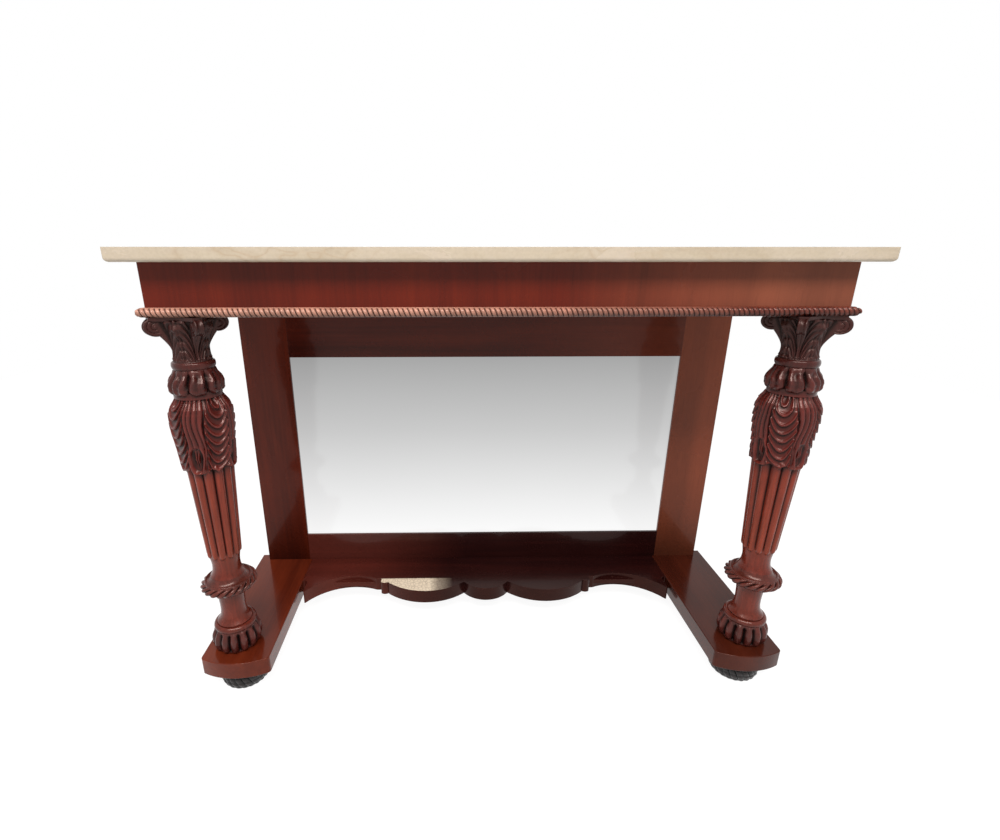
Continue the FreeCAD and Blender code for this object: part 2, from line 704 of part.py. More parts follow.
def rail_tenon(name, bottom, top, clearance):
    """The tenons of a rail as one bar across both stiles, or their mortises."""
    length = stile_inner + S["rail_tenon_length"] + clearance
    front = frame_front + S["frame_lip"] / 2 - clearance
    back = frame_front + S["frame_lip"] / 2 + S["rail_tenon_thickness"] + clearance
    return box(name, (-length, length), (front, back), (bottom - clearance, top + clearance))


bottom_tenon = (platform_top + S["rail_tenon_shoulder"] / 2,
                mirror_bottom - S["rail_tenon_shoulder"])
top_tenon = (rebate_top + S["rail_tenon_shoulder"] / 2, frieze_bottom - S["rail_tenon_shoulder"])


def back_stiles():
    """The flat pilasters, with tenons at both ends and the mirror's rebate on the inner edge."""
    post = box("stile_post", (stile_inner, stile_outer), (frame_front, back_face),
               (platform_top, frieze_bottom))
    tenons = [stile_tenon("stile_foot", 1, platform_top, -1, ZERO),
              stile_tenon("stile_head", 1, frieze_bottom, 1, ZERO)]
    tools = [box("stile_rebate", (stile_inner, rebate_side), (rebate_front, back_face),
                 (rebate_bottom, rebate_top)),
             rail_tenon("stile_mortise_low", *bottom_tenon, S["joint_clearance"]),
             rail_tenon("stile_mortise_high", *top_tenon, S["joint_clearance"])]
    finish_pair("back_stile", cut("stile_cut", join("stile_solid", [post] + tenons), tools))


def back_rails():
    """The rails over and under the mirror, with tenons into the stiles."""
    rail = box("top_rail_board", (-stile_inner, stile_inner), (frame_front, back_face),
               (mirror_top, frieze_bottom))
    rebate = box("top_rail_rebate", (-stile_inner, stile_inner), (rebate_front, back_face),
                 (mirror_top, rebate_top))
    finish("back_top_rail", join("top_rail", [cut("top_rail_cut", rail, [rebate]),
                                              rail_tenon("top_rail_tenons", *top_tenon, ZERO)]))
    rail = box("bottom_rail_board", (-stile_inner, stile_inner), (frame_front, back_face),
               (platform_top, mirror_bottom))
    tenons = rail_tenon("bottom_rail_tenons", *bottom_tenon, ZERO)
    tools = [box("bottom_rail_rebate", (-stile_inner, stile_inner), (rebate_front, back_face),
                 (rebate_bottom, mirror_bottom))]
    for number, x in enumerate(rail_screw_places()):
        tools.append(screw_hole("rail_screw_hole_%d" % number, S["rail_screw_length"],
                                x, rail_screw_y, shelf_bottom, UP))
    solid = join("bottom_rail_solid", [rail, tenons])
    finish("back_bottom_rail", cut("bottom_rail", solid, tools))


def mirror():
    """Glass and backboard in the rebate, held by four strips."""
    gap = S["glass_clearance"]
    width = (-(rebate_side - gap), rebate_side - gap)
    heights = (rebate_bottom + gap, rebate_top - gap)
    glass_back = rebate_front + S["glass_thickness"]
    board_back = glass_back + S["backboard_thickness"]
    finish("mirror_glass", box("glass", width, (rebate_front, glass_back), heights))
    finish("mirror_backboard", box("backboard", width, (glass_back, board_back), heights))
    depth = (board_back, back_face)
    strip = S["fillet_width"]
    finish("mirror_fillet_top", box("fillet_top", (-rebate_side, rebate_side), depth,
                                    (rebate_top - strip, rebate_top)))
    finish("mirror_fillet_bottom", box("fillet_bottom", (-rebate_side, rebate_side), depth,
                                       (rebate_bottom, rebate_bottom + strip)))
    finish_pair("mirror_fillet", box("fillet_side", (rebate_side - strip, rebate_side), depth,
                                     (rebate_bottom + strip, rebate_top - strip)))


# ---------------------------------------------------------------- platform

shelf_bottom = platform_top - S["shelf_thickness"]
tongue_middle = shelf_bottom + S["shelf_thickness"] / 2
shelf_front = top_front + S["lobe_front"]
cusp_y = shelf_front + S["lobe_cusp_depth"]
notch_back = shelf_front + S["cove_outer_depth"] + S["notch_depth"]
rail_screw_y = back_face - S["rail_screw_inset"]


def rail_screw_places():
    return [S["rail_screw_spread"] * step for step in (-1, 0, 1)]


def shelf_tongue(name, clearance):
    """The tongues at both ends of the shelf as one bar, or the grooves that take them."""
    half = S["shelf_tongue_thickness"] / 2 + clearance
    reach = arm_inner + S["shelf_tongue"] + clearance
    start = notch_back + S["notch_width"] - clearance
    return box(name, (-reach, reach), (start, back_face), (tongue_middle - half, tongue_middle + half))


def platform_arms():
    """The arms, with bowed front ends, and the holes for columns, stiles, feet and shelf."""
    body = new_body("arm", 0, 0, platform_bottom)
    corner_y = platform_front + S["bow_depth"]
    sketch = outline(new_sketch(body, "arm_plan", "XY_Plane"), [
        (arm_inner, corner_y, S["bow_depth"]), (platform_end, corner_y),
        (platform_end, back_face), (arm_inner, back_face)])
    board = pad(body, "arm_board", sketch, S["platform_thickness"])
    corners = round_edges(body, "arm_corners", board, S["arm_corner_round"],
                          lambda edge: not lies_flat(edge) and edge.BoundBox.YMax < 0)
    round_edges(body, "arm_edges", corners, S["edge_round"],
                lambda edge: lies_flat(edge) and edge.BoundBox.YMin < 0)
    clearance = S["bore_clearance"]
    spigot = (S["foot_spigot_radius"] + clearance, S["foot_spigot_height"] + clearance)
    tools = [
        rod("column_hole", S["base_tenon_radius"] + clearance, S["base_tenon_depth"] + clearance,
            column_x, column_y, platform_top, DOWN),
        rod("front_foot_hole", *spigot, foot_x, front_foot_y, platform_bottom, UP),
        rod("rear_foot_hole", *spigot, foot_x, rear_foot_y, platform_bottom, UP),
        stile_tenon("arm_mortise", 1, platform_top, -1, S["joint_clearance"]),
        shelf_tongue("arm_groove", S["joint_clearance"])]
    finish_pair("platform_arm", cut("arm_cut", body, tools))


def shelf_plan():
    """The right half of the shelf's front edge, from the cusp beside the middle lobe to the arm."""
    knuckle_y = shelf_front + S["knuckle_setback"]
    cove_start = (S["cove_inner"], shelf_front + S["cove_inner_depth"])
    cove_end_y = shelf_front + S["cove_outer_depth"]
    notch_inner = arm_inner - S["notch_width"]
    knuckle_outer = S["side_lobe_outer"] + S["knuckle_width"]
    return [
        (S["side_lobe_inner"], cusp_y, S["lobe_cusp_depth"]),
        (S["side_lobe_outer"], cusp_y), (S["side_lobe_outer"], knuckle_y, S["knuckle_swell"]),
        (knuckle_outer, knuckle_y), (knuckle_outer, cove_start[1]),
        (*cove_start, -S["cove_hollow"]),
        (notch_inner - S["cove_end_flat"], cove_end_y), (notch_inner, cove_end_y),
        (notch_inner, notch_back, -S["notch_width"] / 4),
        (arm_inner, notch_back + S["notch_width"] / 2)]


def platform_shelf():
    """The shelf between the arms, with its scalloped front and a tongue at each end."""
    body = new_body("platform_shelf", 0, 0, shelf_bottom)
    right = shelf_plan()
    middle_bulge = S["lobe_cusp_depth"] - S["middle_lobe_setback"]
    left = [(-right[0][0], right[0][1], middle_bulge)]
    for corner, before in zip(right[1:], right):
        left.insert(0, (-corner[0], corner[1], *before[2:]))
    plan = left + right + [(arm_inner, back_face), (-arm_inner, back_face)]
    sketch = outline(new_sketch(body, "shelf_plan", "XY_Plane"), plan)
    pad(body, "shelf_board", sketch, S["shelf_thickness"])
    board = join("shelf_solid", [body, shelf_tongue("shelf_tongues", ZERO)])
    holes = []
    screws = []
    for number, x in enumerate(rail_screw_places()):
        place = (x, rail_screw_y, shelf_bottom, UP)
        holes.append(screw_hole("shelf_screw_hole_%d" % number, S["rail_screw_length"], *place))
        screws.append(screw("rail_screw_%d" % number, S["rail_screw_length"], *place))
    finish("platform_shelf", cut("shelf_cut", board, holes))
    finish("rail_screws", group("rail_screw_group", screws))


# ---------------------------------------------------------------- feet


def foot(place, y, radius):
    """A turned bun with a spigot on top."""
    body = new_body("foot_" + place, foot_x, y, 0)
    top = S["foot_height"]
    spigot_top = top + S["foot_spigot_height"]
    turn(body, place + "_foot_turning", [
        (0, 0), (S["foot_seat"], 0, S["foot_low_swell"]), (radius, top / 2, S["foot_high_swell"]),
        (S["foot_top_radius"], top), (S["foot_spigot_radius"], top),
        (S["foot_spigot_radius"], spigot_top), (0, spigot_top)])
    return body


def feet():
    """Lobed bun feet under the columns, and plainer ones behind."""
    front = foot("front", front_foot_y, S["foot_radius"] - S["foot_lobe_half_width"] / 2)
    lobes(front, "foot_lobes", S["foot_lobe_count"], S["foot_radius"], S["foot_lobe_half_width"],
          S["foot_lobe_end_gap"], S["foot_height"] - S["foot_lobe_end_gap"])
    finish_pair("foot_front", front)
    finish_pair("foot_rear", foot("rear", rear_foot_y, S["rear_foot_radius"]))


# ---------------------------------------------------------------- build, check and write


def check():
    """Stop if any object failed or any sub-part's shape is empty or invalid."""
    doc.recompute()
    for thing in doc.Objects:
        bad = [word for word in thing.State if word in ("Invalid", "Error")]
        if bad:
            raise RuntimeError("%s: %s" % (thing.Name, ", ".join(thing.State)))
    for name, thing in parts.items():
        if thing.Shape.isNull() or not thing.Shape.isValid() or not thing.Shape.Solids:
            raise RuntimeError("%s has no valid shape" % name)


def write():
    os.makedirs("parts", exist_ok=True)
    for name, thing in parts.items():
        thing.Shape.exportStep("parts/%s.step" % name)


marble_top()
frieze_front()
frieze_back_rail()
frieze_sides()
corner_blocks()
glue_blocks()
bearers()
rope_mouldings()
capitals()
columns()
collars()
bases()
back_stiles()
back_rails()
mirror()
platform_arms()
platform_shelf()
feet()
check()
write()
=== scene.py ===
import math

import bpy
import numpy as np
from mathutils import Matrix, Vector

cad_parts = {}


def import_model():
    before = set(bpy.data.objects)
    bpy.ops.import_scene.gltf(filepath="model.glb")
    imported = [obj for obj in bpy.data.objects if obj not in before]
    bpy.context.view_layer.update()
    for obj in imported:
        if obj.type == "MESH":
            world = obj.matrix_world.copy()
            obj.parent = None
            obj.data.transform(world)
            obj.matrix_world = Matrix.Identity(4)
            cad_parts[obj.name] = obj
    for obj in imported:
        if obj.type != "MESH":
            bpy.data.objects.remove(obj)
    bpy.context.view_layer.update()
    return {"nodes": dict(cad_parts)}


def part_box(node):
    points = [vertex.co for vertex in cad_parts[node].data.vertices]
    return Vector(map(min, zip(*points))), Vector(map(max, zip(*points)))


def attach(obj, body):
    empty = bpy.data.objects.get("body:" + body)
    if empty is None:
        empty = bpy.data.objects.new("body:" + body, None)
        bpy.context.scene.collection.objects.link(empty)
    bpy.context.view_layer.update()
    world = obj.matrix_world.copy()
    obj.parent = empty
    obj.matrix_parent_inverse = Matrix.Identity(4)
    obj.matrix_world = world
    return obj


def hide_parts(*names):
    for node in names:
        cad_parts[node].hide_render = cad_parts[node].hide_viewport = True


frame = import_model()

# Pier table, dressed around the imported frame. Carving sizes are in millimetres, angles in degrees,
# and an angle of -90 about a column is the table's front.

MM = 0.001
SIDES = ("left", "right")

# ---------------------------------------------------------------- shape helpers


def fraction(value):
    return value - np.floor(value)


def smooth(low, high, value):
    """0 below low, 1 above high, and a soft rise between."""
    share = np.clip((value - low) / (high - low), 0, 1)
    return share * share * (3 - 2 * share)


def dome(phase):
    """A half circle over each unit of phase: 0 at its ends, 1 in its middle."""
    return np.sqrt(np.clip(1 - (2 * fraction(phase) - 1) ** 2, 0, 1))


def bell(value, width):
    return np.exp(-(value / width) ** 2)


def between(angle, step):
    """Angle from the nearest multiple of step, without its sign."""
    return np.abs((angle + step / 2) % step - step / 2)


def spline(points, step):
    """A smooth line through (radius, height) points, sampled about every step."""
    points = np.array(points, float)
    ends = [2 * points[0] - points[1], 2 * points[-1] - points[-2]]
    padded = np.vstack([ends[:1], points, ends[1:]])
    share = np.linspace(0, 1, 24, endpoint=False)[:, None]
    parts = []
    for a, b, c, d in zip(padded, padded[1:], padded[2:], padded[3:]):
        parts.append(0.5 * (2 * b + (c - a) * share + (2 * a - 5 * b + 4 * c - d) * share ** 2
                            + (3 * b - a - 3 * c + d) * share ** 3))
    line = np.vstack(parts + [points[-1:]])
    run = np.concatenate([[0], np.cumsum(np.linalg.norm(np.diff(line, axis=0), axis=1))])
    count = max(2, int(round(run[-1] / step)) + 1)
    even = np.linspace(0, run[-1], count)
    return np.column_stack([np.interp(even, run, line[:, k]) for k in (0, 1)])


def profile(*segments):
    """Join (step, points) segments into one outline; each starts where the last one ended."""
    lines = [spline(points, step) for step, points in segments]
    kept = [lines[0]]
    for line in lines[1:]:
        same = np.linalg.norm(line[0] - kept[-1][-1]) < 0.01
        kept.append(line[1:] if same else line)
    return np.vstack(kept)


def blurred(field, rows, columns):
    """Mean of a field that closes on itself along its columns."""
    out = field
    for axis, reach in ((1, columns), (0, rows)):
        mode = "wrap" if axis == 1 else "edge"
        pad = [(reach, reach) if k == axis else (0, 0) for k in (0, 1)]
        total = np.cumsum(np.pad(out, pad, mode=mode), axis=axis)
        zero = np.zeros_like(np.take(total, [0], axis=axis))
        total = np.concatenate([zero, total], axis=axis)
        width = 2 * reach + 1
        high = np.take(total, range(width, total.shape[axis]), axis=axis)
        low = np.take(total, range(0, total.shape[axis] - width), axis=axis)
        out = (high - low) / width
    return out


def mesh_object(name, vertices, faces, layers=None):
    """A mesh object from points in millimetres. layers holds one named value per point."""
    mesh = bpy.data.meshes.new(name)
    mesh.from_pydata((vertices * MM).tolist(), [], faces)
    for layer, values in (layers or {}).items():
        attribute = mesh.attributes.new(layer, "FLOAT", "POINT")
        attribute.data.foreach_set("value", values.astype(np.float32).ravel())
    mesh.polygons.foreach_set("use_smooth", [True] * len(mesh.polygons))
    mesh.set_sharp_from_angle(angle=math.radians(60))
    mesh.update()
    thing = bpy.data.objects.new(name, mesh)
    bpy.context.scene.collection.objects.link(thing)
    return thing


def ring_faces(rows, columns, start=0):
    """Quads between closed rings of points, and a fan at each end around two further points."""
    row, column = np.meshgrid(np.arange(rows - 1), np.arange(columns), indexing="ij")
    after = (column + 1) % columns
    quads = np.stack([row * columns + column, row * columns + after,
                      (row + 1) * columns + after, (row + 1) * columns + column], -1) + start
    faces = quads.reshape(-1, 4).tolist()
    low, high = start + rows * columns, start + rows * columns + 1
    top = start + (rows - 1) * columns
    for one in range(columns):
        two = (one + 1) % columns
        faces.append([start + two, start + one, low])
        faces.append([top + one, top + two, high])
    return faces


def ringed(name, rings, relief=None, reach=4):
    """A closed solid from rings of points. relief is the height of the carving at each point, in mm.
    The layer raised says how far it stands above or below its near and wider surroundings, -1 to 1."""
    rows, columns = rings.shape[:2]
    points = np.vstack([rings.reshape(-1, 3), rings[0].mean(0), rings[-1].mean(0)])
    relief = np.zeros((rows, columns)) if relief is None else relief
    near, wide = (relief - blurred(relief, steps, steps) for steps in (reach, 3 * reach))
    raised = np.clip(0.36 * near + 0.16 * wide, -1, 1)
    layers = {"raised": np.append(raised.ravel(), [0, 0])}
    return mesh_object(name, points, ring_faces(rows, columns), layers)


def turned(name, outline, columns, carving=None, radial=False, matrix=None, origin=(0, 0, 0), reach=7):
    """A solid of revolution. carving(angle, outline) gives how far each point stands out, in mm,
    along the outline's normal, or along the radius where radial is true."""
    angle = np.linspace(-180, 180, columns, endpoint=False)[None, :]
    radius, height = outline[:, :1], outline[:, 1:]
    relief = np.zeros((len(outline), columns))
    if carving:
        relief = relief + carving(angle, radius, height)
    along = np.gradient(outline, axis=0)
    along /= np.maximum(np.linalg.norm(along, axis=1, keepdims=True), 1e-9)
    out_r, out_z = (np.ones_like(radius), 0) if radial else (along[:, 1:], -along[:, :1])
    turn = np.radians(angle)
    far = radius + relief * out_r
    rings = np.stack([far * np.cos(turn), far * np.sin(turn),
                      height + relief * out_z + np.zeros_like(far)], -1)
    if matrix is not None:
        rings = rings @ np.array(matrix).T
    return ringed(name, rings + np.array(origin), relief, reach)


def joined(name, things):
    """One object from several, in place of them."""
    with bpy.context.temp_override(active_object=things[0], object=things[0],
                                   selected_objects=things, selected_editable_objects=things):
        bpy.ops.object.join()
    things[0].name = name
    things[0].data.name = name
    return things[0]


def dress(thing, material, slot, *nodes):
    """Give a piece its material, tie it to the table and let it stand for its CAD nodes."""
    thing.data.materials.clear()
    thing.data.materials.append(material)
    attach(thing, "root")
    if nodes:
        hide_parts(*nodes)
    return thing


# ---------------------------------------------------------------- places from the frame


def node_box(name):
    """Lowest and highest corner of a CAD node in millimetres."""
    low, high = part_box(name)
    return np.array(low) / MM, np.array(high) / MM


def axis_of(name):
    low, high = node_box(name)
    return (low + high)[:2] / 2


COLUMN_AXIS = {side: axis_of("column_base_" + side) for side in SIDES}
FOOT_AXIS = {side: axis_of("foot_front_" + side) for side in SIDES}
PLATFORM_TOP = node_box("platform_arm_left")[1][2]
FRIEZE_LOW, FRIEZE_HIGH = node_box("frieze_front")
ROPE_LOW, ROPE_HIGH = node_box("rope_moulding_front")
SIDE_ROPE_HIGH = node_box("rope_moulding_right")[1]
FRIEZE_BOTTOM = FRIEZE_LOW[2]
COLLAR_TOP = node_box("column_collar_left")[1][2]

# ---------------------------------------------------------------- materials

# Look of worn edges, in metres.
EDGE_ROUND = 0.0012


class Shader:
    """A small helper that adds and links nodes of one material."""

    def __init__(self, name):
        self.material = bpy.data.materials.new(name)
        self.material.use_nodes = True
        self.tree = self.material.node_tree
        self.tree.nodes.clear()
        self.output = self.add("ShaderNodeOutputMaterial")

    def add(self, kind, inputs=None, **settings):
        node = self.tree.nodes.new(kind)
        for key, value in settings.items():
            setattr(node, key, value)
        for key, value in (inputs or {}).items():
            self.put(node, key, value)
        return node

    def put(self, node, key, value):
        if isinstance(value, bpy.types.NodeSocket):
            self.tree.links.new(value, node.inputs[key])
        elif isinstance(value, bpy.types.Node):
            self.tree.links.new(value.outputs[0], node.inputs[key])
        else:
            node.inputs[key].default_value = value

    def where(self):
        """Place on the piece, in metres."""
        return self.add("ShaderNodeTexCoord").outputs["Object"]

    def coordinate(self, axis):
        return self.add("ShaderNodeSeparateXYZ", {"Vector": self.where()}).outputs[axis]

    def share(self, value, low, high, start=0.0, end=1.0):
        """start at the value low, end at the value high, even between and level beyond."""
        return self.add("ShaderNodeMapRange", {
            "Value": value, "From Min": low, "From Max": high, "To Min": start,
            "To Max": end}).outputs[0]

    def noise(self, scale, detail=3.0, rough=0.55, warp=0.0):
        stretched = self.add("ShaderNodeMapping", {"Vector": self.where(), "Scale": scale})
        return self.add("ShaderNodeTexNoise", {
            "Vector": stretched, "Scale": 1.0, "Detail": detail,
            "Roughness": rough, "Distortion": warp}).outputs["Fac"]

    def ramp(self, value, stops):
        node = self.add("ShaderNodeValToRGB", {"Fac": value})
        ramp = node.color_ramp
        while len(ramp.elements) < len(stops):
            ramp.elements.new(0.5)
        for element, (place, colour) in zip(ramp.elements, stops):
            element.position = place
            element.color = colour if len(colour) == 4 else (*colour, 1)
        return node.outputs["Color"]

    def grey_ramp(self, value, stops):
        return self.ramp(value, [(place, (level,) * 3) for place, level in stops])

    def mix(self, share, one, two, kind="MIX"):
        node = self.add("ShaderNodeMix", data_type="RGBA", blend_type=kind)
        self.put(node, 0, share)
        self.put(node, 6, one)
        self.put(node, 7, two)
        return node.outputs[2]

    def maths(self, operation, one, two=0.0, three=0.5, clamp=False):
        node = self.add("ShaderNodeMath", operation=operation, use_clamp=clamp)
        self.put(node, 0, one)
        self.put(node, 1, two)
        self.put(node, 2, three)
        return node.outputs[0]

    def attribute(self, name):
        return self.add("ShaderNodeAttribute", attribute_name=name).outputs["Fac"]

    def bump(self, height, strength, distance, normal=None):
        inputs = {"Height": height, "Strength": strength, "Distance": distance}
        if normal is not None:
            inputs["Normal"] = normal
        return self.add("ShaderNodeBump", inputs).outputs["Normal"]

    def bevel(self, radius):
        return self.add("ShaderNodeBevel", {"Radius": radius}, samples=4).outputs["Normal"]

    def surface(self, **inputs):
        node = self.add("ShaderNodeBsdfPrincipled")
        for key, value in inputs.items():
            self.put(node, key.replace("_", " "), value)
        self.put(self.output, "Surface", node.outputs[0])
        return self.material


def srgb(red, green, blue):
    """A colour written as screen values from 0 to 255."""
    def line(value):
        value /= 255
        return value / 12.92 if value <= 0.04045 else ((value + 0.055) / 1.055) ** 2.4
    return (line(red), line(green), line(blue), 1)


def painted_light_along_x(shader, colour, fade, shade):
    """Painted light and shade: move a colour towards another one along X. fade is (start and end in metres,
    colour), and shade keeps some of the figure. It stands for light that falls unevenly, and stays under
    other light."""
    start, end, target = fade
    share = shader.share(shader.coordinate("X"), start, end, 0.0, 0.75)
    return shader.mix(share, colour, shader.mix(1.0, target, shade, "MULTIPLY"))


def painted_shade_low_down(shader, colour, painted_low_shade):
    """Paint shade on a colour, darker towards the lower of two heights. The last argument is (darkest
    height, unshaded height in metres, share kept).
    """
    low, high, kept = painted_low_shade
    return shader.mix(1.0, colour, shader.share(shader.coordinate("Z"), low, high, kept, 1.0), "MULTIPLY")


def painted_glare(shader, colour, glare_patch):
    """A painted glare: a fixed pale, crazed patch on an upper face. It doesn't move as glare does."""
    (x, y), (half_x, half_y) = glare_patch
    upward = shader.add("ShaderNodeSeparateXYZ", {
        "Vector": shader.add("ShaderNodeNewGeometry").outputs["Normal"]}).outputs["Z"]
    across = shader.share(shader.coordinate("X"), x - half_x, x + half_x)
    depth = shader.share(shader.coordinate("Y"), y - half_y, y + half_y)
    crazing = shader.add("ShaderNodeTexVoronoi", {"Vector": shader.where(), "Scale": 110.0},
                         feature="DISTANCE_TO_EDGE").outputs["Distance"]
    glare_mask = shader.grey_ramp(across, [(0.0, 0.0), (0.03, 0.9), (0.70, 0.9), (0.80, 0.35), (1.0, 0.0)])
    for value, stops in ((depth, [(0.0, 1.0), (0.85, 1.0), (0.89, 0.0)]),
                         (crazing, [(0.0, 0.6), (0.12, 1.0)]),
                         (upward, [(0.7, 0.0), (0.9, 1.0)])):
        glare_mask = shader.maths("MULTIPLY", glare_mask, shader.grey_ramp(value, stops))
    return shader.mix(glare_mask, colour, srgb(222, 208, 184))


def mahogany(name, dark, middle, light, grain="z", figure=26, gloss=0.22, coat=0.15,
             fade=None, painted_low_shade=None, glare_patch=None, index=1.28, tint=(1, 0.66, 0.56, 1)):
    """French-polished mahogany. grain is the axis the fibres run along. A painted glare, a pale patch on
    its upper face, is placed by its (middle, half size)."""
    shader = Shader(name)
    along = {"x": 0, "y": 1, "z": 2}[grain]

    def stretch(across, run):
        return tuple(run if k == along else across for k in range(3))

    broad = shader.noise(stretch(figure, 1.1), detail=4, rough=0.6, warp=0.6)
    cloud = shader.noise((2.6, 2.6, 2.6), detail=2, rough=0.5)
    streak = shader.noise(stretch(150, 2.5), detail=5, rough=0.62)
    pores = shader.noise(stretch(900, 22), detail=2, rough=0.5)
    colour = shader.ramp(broad, [(0.30, dark[:3]), (0.5, middle[:3]), (0.72, light[:3])])
    colour = shader.mix(0.3, colour, shader.ramp(streak, [(0.28, dark[:3]), (0.52, middle[:3]),
                                                          (0.75, light[:3])]))
    # Painted light and shade along X.
    if fade:
        colour = painted_light_along_x(shader, colour, fade, shader.grey_ramp(broad, [(0.3, 0.82), (0.7, 1.15)]))
    shade = shader.grey_ramp(cloud, [(0.3, 0.82), (0.7, 1.12)])
    colour = shader.mix(1.0, colour, shade, "MULTIPLY")
    fleck = shader.grey_ramp(pores, [(0.33, 0.68), (0.42, 1.0)])
    colour = shader.mix(0.5, colour, fleck, "MULTIPLY")
    # Painted shade, darker towards the bottom.
    if painted_low_shade:
        colour = painted_shade_low_down(shader, colour, painted_low_shade)
    # A painted glare patch.
    if glare_patch:
        colour = painted_glare(shader, colour, glare_patch)
    smear = shader.noise((5, 5, 5), detail=4, rough=0.6)
    rough = shader.grey_ramp(smear, [(0.3, gloss), (0.7, gloss + 0.10)])
    normal = shader.bump(streak, 0.08, 0.0006, shader.bevel(EDGE_ROUND))
    return shader.surface(Base_Color=colour, Roughness=rough, Normal=normal, IOR=index,
                          Specular_Tint=tint, Coat_Weight=coat, Coat_Roughness=0.06, Coat_IOR=1.5)


def carved_wood(name, hollow, flat, crest, gloss=0.2, coat=0.12, tops=None, fade=None, rubbed=1.0,
                painted_low_shade=None):
    """Polished carving: dark dirt and painted shade in the hollows, and rubbed, lighter crests.
    tops is a list of (height in metres, colour) that shifts the flat colour up the piece."""
    shader = Shader(name)
    raised = shader.attribute("raised")
    fibres = shader.noise((240, 240, 9), detail=4, rough=0.6)
    patches = shader.noise((22, 22, 14), detail=3, rough=0.6, warp=0.4)
    base = flat
    if tops:
        base = shader.ramp(shader.coordinate("Z"), [(height, colour[:3]) for height, colour in tops])
    shade = shader.ramp(patches, [(0.3, hollow[:3]), (0.7, crest[:3])])
    base = shader.mix(0.3, base, shade)
    # Painted light and shade along X.
    if fade:
        base = painted_light_along_x(shader, base, fade, shader.grey_ramp(patches, [(0.3, 0.85), (0.7, 1.1)]))
    # Painted shade, darker towards the bottom.
    if painted_low_shade:
        base = painted_shade_low_down(shader, base, painted_low_shade)
    base = shader.mix(1.0, base, shader.grey_ramp(fibres, [(0.3, 0.7), (0.7, 1.2)]), "MULTIPLY")
    # Hollows darken from the raised layer: dirt and painted shade.
    low = shader.grey_ramp(shader.maths("MULTIPLY", raised, -1.0), [(0.0, 0.0), (1.0, 1.0)])
    high = shader.grey_ramp(raised, [(0.0, 0.0), (1.0, 0.75)])
    worn = shader.mix(1.0, base, (1.0 + 0.4 * rubbed, 1.0 + 0.7 * rubbed, 1.0 + 0.75 * rubbed, 1.0),
                      "MULTIPLY")
    colour = shader.mix(low, base, hollow)
    colour = shader.mix(high, colour, worn)
    rough = shader.maths("ADD", shader.grey_ramp(patches, [(0.3, gloss), (0.75, gloss + 0.12)]),
                         shader.maths("MULTIPLY", low, 0.25), clamp=True)
    normal = shader.bump(fibres, 0.12, 0.0006)
    glossy = shader.maths("MULTIPLY_ADD", low, -0.85 * coat, coat)
    return shader.surface(Base_Color=colour, Roughness=rough, Normal=normal, IOR=1.36,
                          Specular_Tint=(1.0, 0.74, 0.66, 1), Coat_Weight=glossy, Coat_Roughness=0.16,
                          Coat_IOR=1.5)


def marble():
    shader = Shader("cream_marble")
    warp = shader.noise((2.2, 5, 5), detail=4, rough=0.6)
    spread = shader.add("ShaderNodeCombineXYZ", {"X": warp, "Y": warp, "Z": warp})
    shifted = shader.add("ShaderNodeVectorMath", {0: shader.where(), 1: (1.0, 1.0, 1.0), 2: spread},
                         operation="MULTIPLY_ADD")
    veins = shader.add("ShaderNodeTexVoronoi", {"Vector": shifted.outputs[0], "Scale": 5.5},
                       feature="DISTANCE_TO_EDGE")
    thin = shader.grey_ramp(veins.outputs["Distance"], [(0.0, 1.0), (0.035, 0.35), (0.11, 0.0)])
    fade = shader.grey_ramp(shader.noise((3, 3, 3), detail=2), [(0.42, 0.0), (0.62, 1.0)])
    clouds = shader.noise((7, 12, 12), detail=5, rough=0.65, warp=0.8)
    specks = shader.noise((190, 190, 190), detail=2)
    colour = shader.ramp(clouds, [(0.28, srgb(168, 155, 133)[:3]), (0.5, srgb(177, 165, 145)[:3]),
                                  (0.75, srgb(184, 172, 155)[:3])])
    share = shader.maths("MULTIPLY", thin, shader.maths("MULTIPLY", fade, 0.3))
    colour = shader.mix(share, colour, srgb(150, 122, 88))
    colour = shader.mix(0.35, colour, shader.grey_ramp(specks, [(0.3, 0.86), (0.6, 1.04)]), "MULTIPLY")
    normal = shader.bump(clouds, 0.05, 0.0008, shader.bevel(EDGE_ROUND))
    rough = shader.grey_ramp(clouds, [(0.3, 0.20), (0.7, 0.30)])
    return shader.surface(Base_Color=colour, Roughness=rough, Normal=normal, IOR=1.5,
                          Subsurface_Weight=0.06, Subsurface_Radius=(0.006, 0.005, 0.003),
                          Coat_Weight=0.25, Coat_Roughness=0.1)


def ebonised(name, flat, crest):
    shader = Shader(name)
    fibres = shader.noise((260, 260, 30), detail=4)
    raised = shader.grey_ramp(shader.maths("MULTIPLY_ADD", shader.attribute("raised"), 0.9, 0.5),
                              [(0.1, 0.0), (1.0, 1.0)])
    colour = shader.mix(fibres, flat, tuple(0.5 * value for value in flat[:3]) + (1,))
    colour = shader.mix(raised, colour, crest)
    rough = shader.grey_ramp(fibres, [(0.3, 0.22), (0.7, 0.34)])
    return shader.surface(Base_Color=colour, Roughness=rough, IOR=1.36,
                          Normal=shader.bump(fibres, 0.1, 0.0005), Coat_Weight=0.12,
                          Coat_Roughness=0.15)


